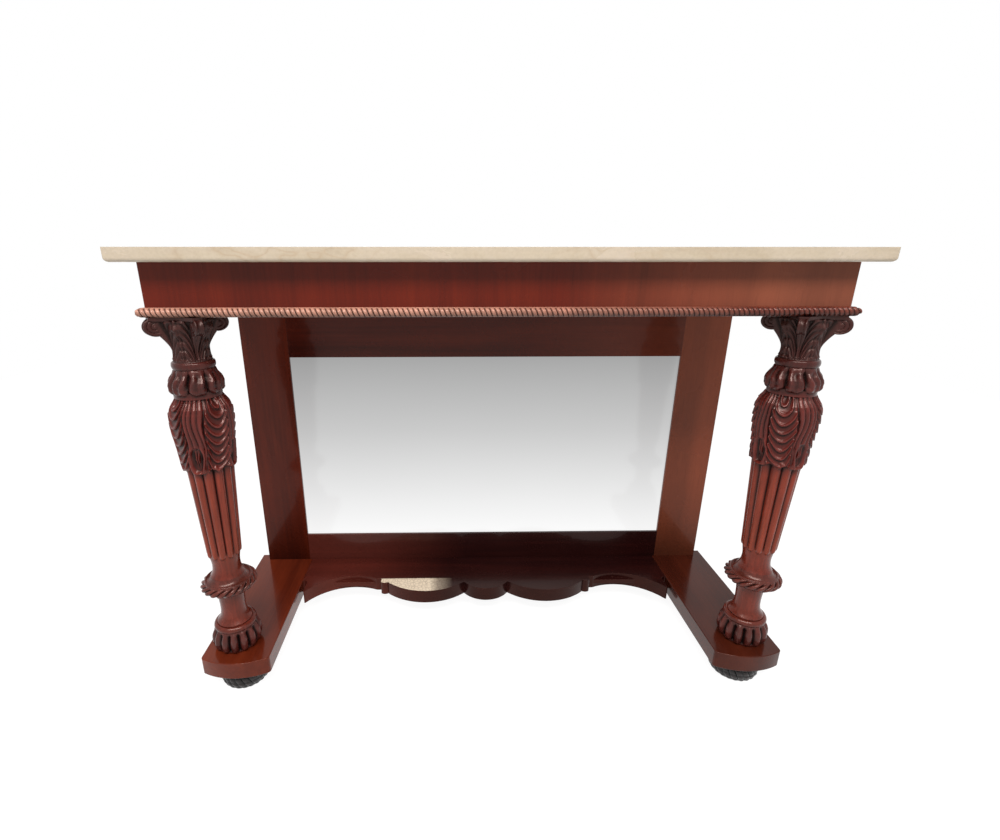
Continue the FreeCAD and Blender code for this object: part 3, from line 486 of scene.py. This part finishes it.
def pine():
    """Aged softwood, its fibres along X."""
    shader = Shader("aged_pine")
    rings = shader.noise((0.9, 30, 30), detail=4, rough=0.55, warp=0.35)
    streaks = shader.noise((3, 190, 190), detail=4, rough=0.6)
    fibres = shader.noise((12, 500, 500), detail=3)
    stains = shader.noise((3, 4, 4), detail=4, rough=0.65)
    colour = shader.ramp(rings, [(0.3, srgb(104, 70, 40)[:3]), (0.5, srgb(138, 97, 58)[:3]),
                                 (0.72, srgb(156, 115, 71)[:3])])
    colour = shader.mix(0.6, colour, shader.grey_ramp(streaks, [(0.3, 0.62), (0.6, 1.08)]), "MULTIPLY")
    colour = shader.mix(1.0, colour, shader.grey_ramp(fibres, [(0.3, 0.84), (0.7, 1.08)]), "MULTIPLY")
    colour = shader.mix(1.0, colour, shader.grey_ramp(stains, [(0.3, 0.78), (0.65, 1.04)]), "MULTIPLY")
    return shader.surface(Base_Color=colour, Roughness=shader.grey_ramp(fibres, [(0.3, 0.6), (0.7, 0.8)]),
                          Normal=shader.bump(streaks, 0.25, 0.0006, shader.bevel(0.001)))


def steel():
    shader = Shader("dull_steel")
    scratch = shader.noise((300, 300, 300), detail=3)
    colour = shader.mix(scratch, srgb(92, 84, 74), srgb(150, 144, 134))
    return shader.surface(Base_Color=colour, Metallic=0.9,
                          Roughness=shader.grey_ramp(scratch, [(0.3, 0.4), (0.7, 0.6)]))


def silvered_glass():
    """Old plate glass. Its own light, brighter low down, stands for the pale room that it would show,
    and only MIRROR_REFLECTION of it is a true reflection."""
    shader = Shader("silvered_glass")
    low, high = node_box("mirror_glass")
    rise = shader.share(shader.coordinate("Z"), low[2] * MM, high[2] * MM)
    haze = shader.noise((2.5, 2.5, 2.5), detail=2, rough=0.5)
    tone = shader.ramp(rise, [(place, srgb(*[level] * 3)[:3]) for place, level in MIRROR_TONES])
    tone = shader.mix(1.0, tone, shader.grey_ramp(haze, [(0.3, 0.985), (0.7, 1.0)]), "MULTIPLY")
    glow = shader.add("ShaderNodeEmission", {"Color": tone, "Strength": 1.0})
    glass = shader.add("ShaderNodeBsdfPrincipled", {
        "Base Color": srgb(244, 246, 245), "Metallic": 1.0,
        "Roughness": shader.grey_ramp(haze, [(0.3, 0.10), (0.7, 0.12)])})
    both = shader.add("ShaderNodeMixShader", {0: MIRROR_REFLECTION, 1: glow.outputs[0],
                                              2: glass.outputs[0]})
    shader.put(shader.output, "Surface", both.outputs[0])
    return shader.material


# Middle and half size, in metres, of the pale patch that stands for glare on the shelf's left lobe.
SHELF_GLARE = ((-0.19, 0.058), (0.10, 0.04))
# (share of the height from below, screen level) of the mirror's own light.
MIRROR_TONES = ((0.0, 252), (0.04, 251), (0.2, 239), (0.4, 221), (0.6, 200), (0.8, 182), (0.93, 168),
                (1.0, 158))
MIRROR_REFLECTION = 0.05

# Painted reflection: the veneer turns paler and browner towards the right.
VENEER = mahogany("crossbanded_mahogany", srgb(66, 15, 5), srgb(84, 21, 8), srgb(98, 29, 11), "z", 13,
                  fade=(0.1, 0.5, srgb(122, 70, 50)))
# Painted light and shade: the pilasters turn paler towards the right and darker towards the bottom.
STILE_WOOD = mahogany("pilaster_mahogany", srgb(64, 18, 9), srgb(94, 31, 15), srgb(114, 41, 22), "z", 10,
                      fade=(-0.1, 0.5, srgb(140, 74, 50)), painted_low_shade=(0.1, 0.34, 0.34))
# Painted light: the top rail turns paler towards the right.
RAIL_WOOD = mahogany("rail_mahogany", srgb(50, 11, 6), srgb(72, 19, 9), srgb(92, 32, 16), "x", 14,
                     fade=(0.1, 0.5, srgb(108, 52, 36)))
# Painted shade and light: the bottom rail is a near-black copy of the rail mahogany, paler towards the
# left.
LOW_RAIL_WOOD = mahogany("low_rail_mahogany", srgb(20, 5, 5), srgb(29, 7, 7), srgb(42, 13, 11), "x", 14,
                         coat=0.15, fade=(-0.05, -0.45, srgb(94, 42, 34)))
# Painted shade: the platform turns darker towards the right.
PLATFORM_WOOD = mahogany("platform_mahogany", srgb(72, 23, 11), srgb(96, 35, 17), srgb(118, 49, 26),
                         "y", 12, gloss=0.12, fade=(0.1, 0.5, srgb(46, 18, 11)))
# Painted shade, light and glare: the shelf is a near-black copy of the platform mahogany, paler towards the
# left, with a painted glare on its left lobe.
SHELF_WOOD = mahogany("shelf_mahogany", srgb(20, 5, 6), srgb(30, 8, 8), srgb(44, 14, 12), "x", 12,
                      gloss=0.2, coat=0.05, fade=(-0.1, -0.42, srgb(88, 36, 28)), glare_patch=SHELF_GLARE,
                      index=1.32, tint=(1.0, 0.45, 0.32, 1))
CAPITAL_WOOD = carved_wood("capital_carving", srgb(14, 5, 5), srgb(50, 20, 18), srgb(66, 30, 26),
                           gloss=0.36, coat=0.08, rubbed=0.5)
COLUMN_WOOD = carved_wood("column_carving", srgb(18, 6, 6), srgb(86, 30, 24), srgb(104, 38, 32),
                          tops=[(0.26, srgb(92, 34, 24)), (0.33, srgb(124, 46, 24)),
                                (0.50, srgb(120, 42, 23)), (0.53, srgb(82, 25, 20)),
                                (0.66, srgb(78, 26, 22)), (0.68, srgb(52, 21, 19))])
BASE_WOOD = carved_wood("base_carving", srgb(14, 5, 5), srgb(84, 34, 26), srgb(106, 42, 34),
                        tops=[(0.10, srgb(66, 27, 24)), (0.136, srgb(72, 32, 28)),
                              (0.15, srgb(96, 38, 26)), (0.21, srgb(112, 44, 29)),
                              (0.235, srgb(78, 33, 26)), (0.26, srgb(84, 38, 30))])
# Painted highlight and shade: the rope turns pale pink towards the left and darker on its lower half.
ROPE_WOOD = carved_wood("rope_carving", srgb(18, 6, 5), srgb(90, 32, 22), srgb(140, 74, 56), gloss=0.24,
                        fade=(0.46, -0.12, srgb(190, 138, 118)), rubbed=0.8, coat=0.2,
                        painted_low_shade=(0.820, 0.834, 0.42))
BLACK_WOOD = ebonised("ebonised_wood", srgb(10, 7, 7), srgb(34, 28, 28))
MARBLE = marble()
PINE = pine()
STEEL = steel()
GLASS = silvered_glass()

# ---------------------------------------------------------------- columns

REED_STEP = 30
BUN_BOTTOM = PLATFORM_TOP + 0.05
SHAFT_BOTTOM, LEAF_BOTTOM, VASE_TOP, BULB_TOP = 321, 519, 668, 722

# Each carved column stands a little turned on its tenons: degrees for the leaves and for the bulb.
CARVING_TURN = {"left": 1.5, "right": 14.0}
BULB_SHIFT = {"left": -18.5, "right": 1.5}

REED_RADIUS = ((SHAFT_BOTTOM, 34.6), (503, 43.6), (550, 46.4))
REED_CORE = ((SHAFT_BOTTOM, 29.4), (503, 37.4), (550, 40.0))
LEAF_RADIUS = ((498, 44.5), (504, 47), (520, 49.5), (545, 51.5), (565, 53.0), (583, 55), (599, 57),
               (612, 58), (628, 58), (641, 57), (650, 54), (657, 49.5), (662, 46), (668, 43))
BULB_RADIUS = ((668, 42.8), (672, 43.5), (677, 46.5), (684, 49.5), (692, 51), (699, 50), (706, 46.5),
               (713, 41), (722, 36.5))

COLUMN_OUTLINE = profile(
    (30, [(13, 189), (13, COLLAR_TOP)]),
    (1.2, [(34.6, COLLAR_TOP), (31.8, 274), (29.4, 281), (28.2, 290), (28.4, 301), (30.0, 312)]),
    (0.8, [(30.0, 312), (30.6, 316), (31.6, 326)]),
    (3.0, [(31.6, 326), (39.0, 500)]),
    (0.7, [(39.0, 500), (40.5, 520), (43, 545), (47, 580), (50.5, 610), (51.5, 628), (50, 645),
           (46.5, 655), (43.5, 662), (42, 668)]),
    (0.7, [(42, 668), (43, 672), (44.5, 678), (46.5, 686), (47, 692), (45.5, 700), (42, 709),
           (38, 716), (35.8, 722)]),
    (0.6, [(35.8, 722), (37.8, 724.2), (38.7, 729), (37.8, 733.8), (35.8, 736)]),
    (30, [(15, 736), (15, 875)]))


def table(points, height):
    return np.interp(height, [place for place, _ in points], [value for _, value in points])


def reeds(facing, radius, height):
    """Twelve rounded reeds with spooned lower ends."""
    reed = np.sin(np.pi * fraction(facing / REED_STEP)) ** 0.9
    start = SHAFT_BOTTOM - 4 + 8 * (1 - reed)
    swell = np.clip((height - start) / 8, 0, 1)
    core, full = table(REED_CORE, height), table(REED_RADIUS, height)
    return (core + (full - core) * reed - radius) * np.sqrt(1 - (1 - swell) ** 2)


def vase_leaves(facing, radius, height):
    """Four hanging leaves. Soft flutes fan down each leaf to a hollow tongue, and a braid of scallops,
    lapped one under the other, covers each joint between two leaves."""
    facing = facing - BRAID_LEAN * (height - 592) / 100 * np.sin(np.radians(2 * facing)) ** 2
    facing = facing + 1.6 * np.sin(height / 19) + 1.2 * np.sin(height / 12 + np.radians(facing * 3))
    from_braid = (facing + 90) % 90 - 45
    away = 45 - np.abs(from_braid)
    drop = LEAF_TOP - height
    across = np.abs(from_braid - 4.0) / BRAID_HALF
    side_rise = np.sqrt((LEAF_HOOK + BRAID_RISE * across ** 2) ** 2 - LEAF_HOOK ** 2)
    level = np.maximum(drop - LEAF_HOOK, 0) + np.hypot(side_rise, np.clip(drop, 0, LEAF_HOOK))
    wave = fraction(level / LEAF_PITCH + 0.05 * np.sin(np.radians(facing * 7) + height / 9))
    rim = np.exp(-((wave - 0.76) / 0.14) ** 2)
    slope = smooth(0.0, 0.7, wave) * (1 - smooth(0.84, 0.99, wave))
    braid = 4.0 * rim + 2.4 * slope - 4.0
    fan = away / (8.5 + 5.0 * (np.clip(drop, 0, 140) / 130) ** 1.5)
    flute = np.abs(np.sin(np.pi * (fan + 0.5)))
    leaf = 2.6 * flute - 3.6 + 1.0 * bell(away, 3.0)
    on_braid = smooth(1.1, 0.96, across)
    raised = leaf * (1 - on_braid) + braid * on_braid - 2.4 * bell(across - 1.1, 0.09)
    tongue = np.hypot(away / 15, (height - TONGUE_LEVEL) / 28)
    spoon = 1 - smooth(0.8, 1.0, tongue)
    curl = bell(away - 2.5, 3.4) * bell(height - TONGUE_LEVEL - 4, 15)
    raised = raised * (1 - spoon) + (-11.0 + 5.0 * smooth(0.3, 0.9, tongue) + 7.0 * curl) * spoon
    ring = bell(tongue - 1.12, 0.16) * (1 - smooth(TONGUE_LEVEL + 16, TONGUE_LEVEL + 30, height))
    raised = raised + 3.4 * ring
    bead = np.exp(-(from_braid / 4.0) ** 2 - ((height - 530) / 4.0) ** 2)
    return table(LEAF_RADIUS, height) + np.minimum(raised + 4.0 * bead, 1.0) - radius


LEAF_TOP, LEAF_PITCH, BRAID_LEAN, TONGUE_LEVEL = 664, 18.0, 14.0, 550
BRAID_HALF, BRAID_RISE, LEAF_HOOK = 23.0, 25.0, 20.0


def leaf_edge(facing):
    """Height of the leaves' lower edge: a tongue under each leaf and a drop under each braid."""
    share = np.abs((facing + 90) % 90 - 45) / 45
    edge = LEAF_BOTTOM + 7 - 7 * bell(1 - share, 0.3) - 5 * bell(share, 0.18)
    return edge + 2.0 * np.cos(np.radians(facing * 12))


def bulb_leaves(facing, radius, height):
    """Eight leaves that swell from under the bead and curl in at their tips."""
    facing = facing + 1.5 * np.sin(height / 9)
    part = fraction(facing / 45)
    leaf = np.sin(np.pi * part)
    tip = 675 + 8 * (1 - leaf ** 0.5)
    fold = np.cos(2 * np.pi * (2 * part + 0.12 * np.sin(height / 6)))
    body = smooth(720, 706, height)
    swollen = table(BULB_RADIUS, height) - 8.5 * (1 - leaf ** 0.45) * (0.4 + 0.6 * body)
    swollen = swollen - 2.3 * (1 + fold) * body * (0.5 + 0.5 * smooth(676, 700, height))
    curl = 1.8 * bell(height - tip - 5, 4.5)
    return np.where(height < tip, 43.0 - radius, swollen + curl - radius)


def column_carving(side):
    hand = 1 if side == "left" else -1

    def carving(angle, radius, height):
        facing = hand * (angle + 90) - hand * CARVING_TURN[side]
        shaft = reeds(facing, radius, height)
        leaf = vase_leaves(facing, radius, height)
        on_leaf = smooth(-0.8, 0.8, height - leaf_edge(facing))
        out = shaft * (1 - on_leaf) + leaf * on_leaf
        bulb = bulb_leaves(facing + 22.5 - hand * BULB_SHIFT[side], radius, height)
        out = np.where(height < VASE_TOP, out, bulb)
        out = out * smooth(SHAFT_BOTTOM - 8, SHAFT_BOTTOM - 4, height)
        return out * (1 - smooth(BULB_TOP - 2, BULB_TOP, height))

    return carving


COLLAR_OUTLINE = profile(
    (20, [(14, 229), (32, 229)]),
    (0.7, [(32, 229), (38, 230.2), (45, 233.4), (51.5, 237.8), (55.8, 242.5), (57.0, 246.6),
           (55.8, 251), (52.4, 254.6), (48.8, 256.6)]),
    (0.6, [(48.8, 256.6), (48.2, 258.8), (46.6, 259.8), (45.0, 259.0), (44.4, 257.8)]),
    (0.8, [(44.4, 257.8), (41.0, 259.6), (37.4, 263.6), (34.8, 268.95)]),
    (20, [(34.8, 268.95), (14, 269)]))
COLLAR_LOBES = 20
COLLAR_TWIST = 26


def collar_carving(angle, radius, height):
    """Twisted gadroons round the rim, from under it up to the dish."""
    rise = (height - 229) / 30 + smooth(246, 256, height) * (57 - radius) / 30
    lobe = np.abs(np.sin(np.pi * (angle - COLLAR_TWIST * rise) * COLLAR_LOBES / 360))
    rim = smooth(36, 43, radius) * smooth(229.2, 231.5, height)
    rim = rim * (1 - (1 - smooth(48.6, 51, radius)) * smooth(248, 255, height))
    return 5.0 * (lobe ** 0.55 - 0.9) * rim


BASE_OUTLINE = profile(
    (20, [(14, BUN_BOTTOM), (39, BUN_BOTTOM)]),
    (0.8, [(39, BUN_BOTTOM), (44.5, 88), (49.5, 95), (51.8, 104), (52, 111), (50.6, 121), (46, 131),
           (41, 137.5)]),
    (0.6, [(41, 137.5), (43.2, 139.4), (44.2, 143.2), (43, 147.6), (39.6, 150.6), (37.0, 150.6),
           (35.4, 149.8)]),
    (0.6, [(35.4, 149.8), (36.4, 151.4), (36.2, 153.6), (34.4, 156)]),
    (1.2, [(34.4, 156), (30.6, 161.5), (27.4, 170), (26, 182), (26.2, 198), (27.2, 212), (28.4, 222),
           (29.4, 229)]),
    (20, [(29.4, 229), (14, 229)]))
BUN_LOBES = 14


def base_carving(angle, radius, height):
    """Plump upright lobes round the bun."""
    lobe = np.abs(np.sin(np.pi * (angle * BUN_LOBES / 360 + 0.5)))
    body = smooth(BUN_BOTTOM, 91, height) * (1 - smooth(131, 138, height)) * smooth(37, 43, radius)
    return 9.0 * body * (lobe ** 0.95 - 0.97)


FOOT_OUTLINE = profile(
    (12, [(12, 0.05), (38, 0.05)]),
    (0.9, [(38, 0.05), (45, 2.5), (51, 10), (53.5, 21), (52.5, 32), (48, 41), (43, 45.9)]),
    (12, [(43, 45.9), (12, 45.9), (12, 64)]))
FOOT_LOBES = 22


def foot_carving(angle, radius, height):
    """Slanting rows of beads."""
    lobe = dome((angle + height * 0.5) * FOOT_LOBES / 360)
    bead = dome(height / 11.5)
    depth = smooth(0.5, 6, height) * (1 - smooth(40, 46, height)) * smooth(38, 44, radius)
    return depth * (4.2 * (lobe ** 0.8 - 0.95) + 1.8 * (bead - 0.9) * lobe)


# ---------------------------------------------------------------- capitals

BELL_OUTLINE = profile(
    (12, [(16, 736.05), (34.5, 736.05)]),
    (0.7, [(34.5, 736.05), (31.6, 739), (29.4, 745), (28.8, 756), (30.0, 770), (33, 786), (38.5, 801),
           (44, 812)]),
    (12, [(44, 812), (16, 812)]))
VOLUTE = {"centre": 53.5, "radius": 20.0, "rise": 17.0, "half_width": 7.5, "turn_pitch": 7.0}


def bell_carving(side):
    hand = 1 if side == "left" else -1

    def carving(angle, radius, height):
        """One upright leaf on each face, and a double stem up each corner."""
        facing = hand * (angle + 90) - hand * CAPITAL_TURN[side]
        off_face = between(facing, 90)
        off_corner = 45 - off_face
        share = off_face / 38
        arch = 16 * share * (1 - share) - 38 * share ** 2
        wave = fraction((height - 742 - arch) / 17.0)
        lobe = smooth(0.0, 0.5, wave) * (1 - smooth(0.7, 1.0, wave))
        body = 1 - smooth(0.86, 1.04, share)
        leaf = body * (1.2 + 2.2 * lobe)
        leaf = leaf + body * (1.4 * bell(off_face, 2.4) - 1.2 * bell(off_face - 5.5, 2.2))
        curl = bell(off_face, 13) * smooth(780, 795, height) * (1 - smooth(801, 809, height))
        leaf = leaf + 6 * curl
        widen = 7 * smooth(750, 800, height)
        stem = 3.4 * smooth(6.5 + widen, 3.5 + widen, off_corner) - 1.2 * bell(off_corner, 2.0)
        stem = stem + smooth(14, 6, off_corner) * 13.0 * smooth(754, 799, height)
        return np.maximum(leaf, stem) * smooth(736.2, 739.5, height)

    return carving


CAPITAL_TURN = {"left": -3.0, "right": 7.0}


def volute_outline():
    radius, half = VOLUTE["radius"], VOLUTE["half_width"]
    return profile(
        (0.6, [(1.2, -half), (radius - 2, -half)]),
        (0.6, [(radius - 2, -half), (radius - 0.5, -half + 0.7), (radius, -half + 2.2)]),
        (0.8, [(radius, -half + 2.2), (radius - 1.6, -half / 3), (radius - 2.0, 0),
               (radius - 1.6, half / 3), (radius, half - 2.2)]),
        (0.6, [(radius, half - 2.2), (radius - 0.5, half - 0.7), (radius - 2, half)]),
        (0.6, [(radius - 2, half), (1.2, half)]))


def volute_carving(angle, radius, height):
    """A rising band wound in a spiral on both faces, round a button."""
    face = smooth(VOLUTE["half_width"] - 0.4, VOLUTE["half_width"], np.abs(height))
    hand = np.where(height > 0, 1, -1)
    turn = radius / VOLUTE["turn_pitch"] + hand * angle / 360
    band = 2.0 * (dome(turn) ** 0.7 - 1)
    button = 2.4 * dome(np.clip(0.5 + radius / 9.5, 0, 1)) - 1.2
    return face * np.where(radius < 4.6, button, band)


def abacus(name, centre, turned_by):
    """A thin slab with hollowed sides and cut corners."""
    corner, half, hollow = 64.0, 8.0, 9.0
    plan = []
    for quarter in range(4):
        here, following = (math.radians(45 + turned_by + 90 * (quarter + step)) for step in (0, 1))
        out = np.array([math.cos(here), math.sin(here)])
        side = np.array([-out[1], out[0]])
        out_next = np.array([math.cos(following), math.sin(following)])
        side_next = np.array([-out_next[1], out_next[0]])
        start, end = corner * out + half * side, corner * out_next - half * side_next
        inward = -(start + end) / np.linalg.norm(start + end)
        plan.append(corner * out - half * side)
        for share in np.linspace(0, 1, 17):
            plan.append(start + (end - start) * share + inward * hollow * 4 * share * (1 - share))
    plan = np.array(plan)
    levels = ((812.0, 0.93), (813.2, 0.955), (814.0, 0.985), (816.0, 1.0), (819.95, 1.0))
    rings = np.stack([np.column_stack([plan * scale, np.full(len(plan), level)])
                      for level, scale in levels])
    return ringed(name, rings + np.array([*centre, 0]))


def capital(side):
    x, y = COLUMN_AXIS[side]
    turned_by = CAPITAL_TURN[side]
    things = [turned("bell_" + side, BELL_OUTLINE, 420, bell_carving(side), origin=(x, y, 0)),
              abacus("abacus_" + side, (x, y), turned_by)]
    level = FRIEZE_BOTTOM - VOLUTE["rise"] - 0.1
    for number, turn in enumerate((-135, -45, 45, 135)):
        turn = math.radians(turn + turned_by)
        out = Vector((math.cos(turn), math.sin(turn), 0))
        across = Vector((-out.y, out.x, 0))
        matrix = Matrix((out, Vector((0, 0, VOLUTE["rise"] / VOLUTE["radius"])), -across)).transposed()
        centre = Vector((x, y, level)) + out * VOLUTE["centre"]
        things.append(turned("volute_%s_%d" % (side, number), volute_outline(), 96, volute_carving,
                             matrix=matrix, origin=tuple(centre), reach=2))
    return joined("carved_capital_" + side, things)


# ---------------------------------------------------------------- rope moulding

ROPE_PITCH = 9.0
ROPE_SECTION_STEPS = 22


def rope_section():
    """Half-round section as (reach out of the frieze, height, share from low to high)."""
    share = np.linspace(0, 1, ROPE_SECTION_STEPS)
    turn = np.radians(-92 + 184 * share)
    radius = (ROPE_HIGH[2] - ROPE_LOW[2]) / 2
    full = FRIEZE_LOW[1] - ROPE_LOW[1]
    reach = np.maximum(full - radius - 0.3 + radius * np.cos(turn), 0.4)
    height = ROPE_LOW[2] + radius + (radius - 0.3) * np.sin(turn)
    return reach, height, share, turn


def rope(name, start, end, out, mitre_start, mitre_end):
    """A carved strip from start to end. out is the way it faces; a mitred end runs on with the reach."""
    start, end, out = (np.array(value, float) for value in (start, end, out))
    length = np.linalg.norm(end - start)
    way = (end - start) / length
    reach, height, share, turn = rope_section()
    count = int(round(length / 0.75))
    along = np.linspace(0, 1, count)[:, None]
    low = -reach * mitre_start
    high = length + reach * mitre_end
    run = low + (high - low) * along
    phase = run / ROPE_PITCH + 0.9 * share[None, :]
    lobe = np.abs(np.sin(np.pi * phase))
    groove = bell(fraction(phase) - 0.55, 0.10)
    relief = 3.1 * (lobe ** 0.8 - 0.95) - 0.9 * groove
    relief = relief * smooth(0.0, 0.12, share)[None, :] * (1 - smooth(0.9, 1.0, share))[None, :]
    far = reach + relief * np.cos(turn)
    tall = height + relief * np.sin(turn)
    points = (start[None, None, :] + way * run[..., None] + out * far[..., None])
    points = np.concatenate([points, tall[..., None]], -1)
    back = start[None, :] + way * run[:, :1]
    backs = [np.concatenate([back, np.full((count, 1), level)], -1)[:, None, :]
             for level in (ROPE_HIGH[2] - 0.4, ROPE_LOW[2] + 0.4)]
    rings = np.concatenate([points] + backs, 1)
    relief = np.concatenate([relief, np.zeros((count, 2))], 1)
    return ringed(name, rings, 2.0 * relief, 3)


def ropes():
    left, right = FRIEZE_LOW[0], FRIEZE_HIGH[0]
    front, back = FRIEZE_LOW[1], SIDE_ROPE_HIGH[1]
    runs = (("front", (left, front), (right, front), (0, -1), 1, 1),
            ("right", (right, front), (right, back), (1, 0), 1, 0),
            ("left", (left, back), (left, front), (-1, 0), 0, 1))
    for word, *place in runs:
        dress(rope("carved_rope_" + word, *place), ROPE_WOOD, "rope", "rope_moulding_" + word)


# ---------------------------------------------------------------- pieces


def columns():
    for side in SIDES:
        x, y = COLUMN_AXIS[side]
        where = (x, y, 0)
        dress(turned("carved_column_" + side, COLUMN_OUTLINE, 480, column_carving(side), True,
                     origin=where),
              COLUMN_WOOD, "carving", "column_" + side)
        dress(turned("carved_collar_" + side, COLLAR_OUTLINE, 480, collar_carving, origin=where),
              BASE_WOOD, "carving", "column_collar_" + side)
        dress(turned("carved_base_" + side, BASE_OUTLINE, 420, base_carving, origin=where),
              BASE_WOOD, "carving", "column_base_" + side)
        dress(capital(side), CAPITAL_WOOD, "carving", "capital_" + side)
        x, y = FOOT_AXIS[side]
        dress(turned("carved_foot_" + side, FOOT_OUTLINE, 400, foot_carving, origin=(x, y, 0)),
              BLACK_WOOD, "ebonised", "foot_front_" + side)


NODE_MATERIALS = {
    "marble_top": MARBLE, "mirror_glass": GLASS, "frieze_front": VENEER, "frieze_side": VENEER,
    "back_stile": STILE_WOOD, "back_top_rail": RAIL_WOOD, "back_bottom_rail": LOW_RAIL_WOOD,
    "platform_arm": PLATFORM_WOOD, "platform_shelf": SHELF_WOOD, "foot_rear": BLACK_WOOD,
    "rail_screws": STEEL, "corner_block_screws": STEEL,
}


def paint_nodes():
    for name, thing in frame["nodes"].items():
        known = [material for start, material in NODE_MATERIALS.items() if name.startswith(start)]
        thing.data.materials.clear()
        thing.data.materials.append(known[0] if known else PINE)


paint_nodes()
columns()
ropes()

# ---------------------------------------------------------------- stage, light and camera

FLOOR_SIZE = 7.0


def seen(shader):
    """1 for rays from the camera, in mirror reflections and through glass."""
    path = shader.add("ShaderNodeLightPath").outputs
    share = shader.maths("MAXIMUM", path["Is Camera Ray"], path["Is Transmission Ray"])
    return shader.maths("MAXIMUM", share, path["Is Glossy Ray"])


FLOOR_TONES = ((0.80, 0.80, 0.80, 1), (0.82, 0.82, 0.82, 1))
FLOOR_GLOW, FLOOR_GLOW_SHARE = 1.16, 0.8


def floor():
    """A white floor that keeps a soft shadow."""
    shader = Shader("studio_floor")
    grain = shader.noise((40, 40, 40), detail=2)
    plain = shader.add("ShaderNodeBsdfDiffuse", {
        "Color": shader.mix(grain, *FLOOR_TONES)})
    white = shader.add("ShaderNodeEmission", {"Color": (1, 1, 1, 1), "Strength": FLOOR_GLOW})
    both = shader.add("ShaderNodeMixShader", {0: shader.maths("MULTIPLY", seen(shader), FLOOR_GLOW_SHARE),
                                              1: plain.outputs[0], 2: white.outputs[0]})
    shader.put(shader.output, "Surface", both.outputs[0])
    half = FLOOR_SIZE / 2 / MM
    corners = np.array([(-half, -half, 0), (half, -half, 0), (half, half, 0), (-half, half, 0)])
    thing = mesh_object("studio_floor", corners, [[0, 1, 2, 3]])
    thing.data.materials.append(shader.material)


def world():
    """White for the camera, in reflections and through glass. It lights the rest softly."""
    scene = bpy.context.scene
    scene.world = bpy.data.worlds.new("studio")
    scene.world.use_nodes = True
    tree = scene.world.node_tree
    tree.nodes.clear()
    output = tree.nodes.new("ShaderNodeOutputWorld")
    path = tree.nodes.new("ShaderNodeLightPath").outputs
    share = path["Is Camera Ray"]
    for other in ("Is Transmission Ray", "Is Glossy Ray"):
        most = tree.nodes.new("ShaderNodeMath")
        most.operation = "MAXIMUM"
        tree.links.new(share, most.inputs[0])
        tree.links.new(path[other], most.inputs[1])
        share = most.outputs[0]
    where = tree.nodes.new("ShaderNodeTexCoord")
    split = tree.nodes.new("ShaderNodeSeparateXYZ")
    tree.links.new(where.outputs["Generated"], split.inputs[0])
    spread = tree.nodes.new("ShaderNodeMapRange")
    spread.inputs["From Min"].default_value = -1.0
    tree.links.new(split.outputs["Z"], spread.inputs["Value"])
    ramp = tree.nodes.new("ShaderNodeValToRGB")
    tree.links.new(spread.outputs[0], ramp.inputs[0])
    while len(ramp.color_ramp.elements) < len(SOFT_ROOM):
        ramp.color_ramp.elements.new(0.5)
    for element, (place, level) in zip(ramp.color_ramp.elements, SOFT_ROOM):
        element.position = place
        element.color = (level, level, level, 1)
    soft = tree.nodes.new("ShaderNodeBackground")
    tree.links.new(ramp.outputs["Color"], soft.inputs["Color"])
    white = tree.nodes.new("ShaderNodeBackground")
    white.inputs["Color"].default_value = (1, 1, 1, 1)
    mix = tree.nodes.new("ShaderNodeMixShader")
    tree.links.new(share, mix.inputs[0])
    tree.links.new(soft.outputs[0], mix.inputs[1])
    tree.links.new(white.outputs[0], mix.inputs[2])
    tree.links.new(mix.outputs[0], output.inputs["Surface"])


# (share of the way from straight down to straight up, level) of the room that lights the table.
SOFT_ROOM = ((0.0, 0.34), (0.5, 0.36), (0.85, 0.55))


def lamp(name, place, target, size, power, colour=(1, 1, 1)):
    data = bpy.data.lights.new(name, "AREA")
    data.shape = "RECTANGLE"
    data.size, data.size_y = size
    data.energy = power
    data.color = colour
    thing = bpy.data.objects.new(name, data)
    bpy.context.scene.collection.objects.link(thing)
    thing.location = place
    thing.rotation_euler = (Vector(target) - Vector(place)).to_track_quat("-Z", "Y").to_euler()


# The photograph's view: metres, degrees, millimetres of lens and shares of the frame's width.
CAMERA_PLACE, CAMERA_TURN = (-0.0933, -1.1011, 0.9303), (90 - 18.22, 0, -1.031)
CAMERA_LENS, CAMERA_SHIFT = 18.40, 0.0411


def camera():
    data = bpy.data.cameras.new("camera")
    data.sensor_width = 36
    data.lens = CAMERA_LENS
    data.shift_x = CAMERA_SHIFT
    data.clip_start = 0.02
    thing = bpy.data.objects.new("camera", data)
    bpy.context.scene.collection.objects.link(thing)
    thing.location = CAMERA_PLACE
    thing.rotation_euler = tuple(map(math.radians, CAMERA_TURN))
    bpy.context.scene.camera = thing


floor()
world()
lamp("ceiling", (-0.15, -1.75, 2.7), (0, 0, 0.5), (2.8, 0.75), 102, (1.0, 0.94, 0.91))
camera()
bpy.context.scene.view_settings.view_transform = "Standard"
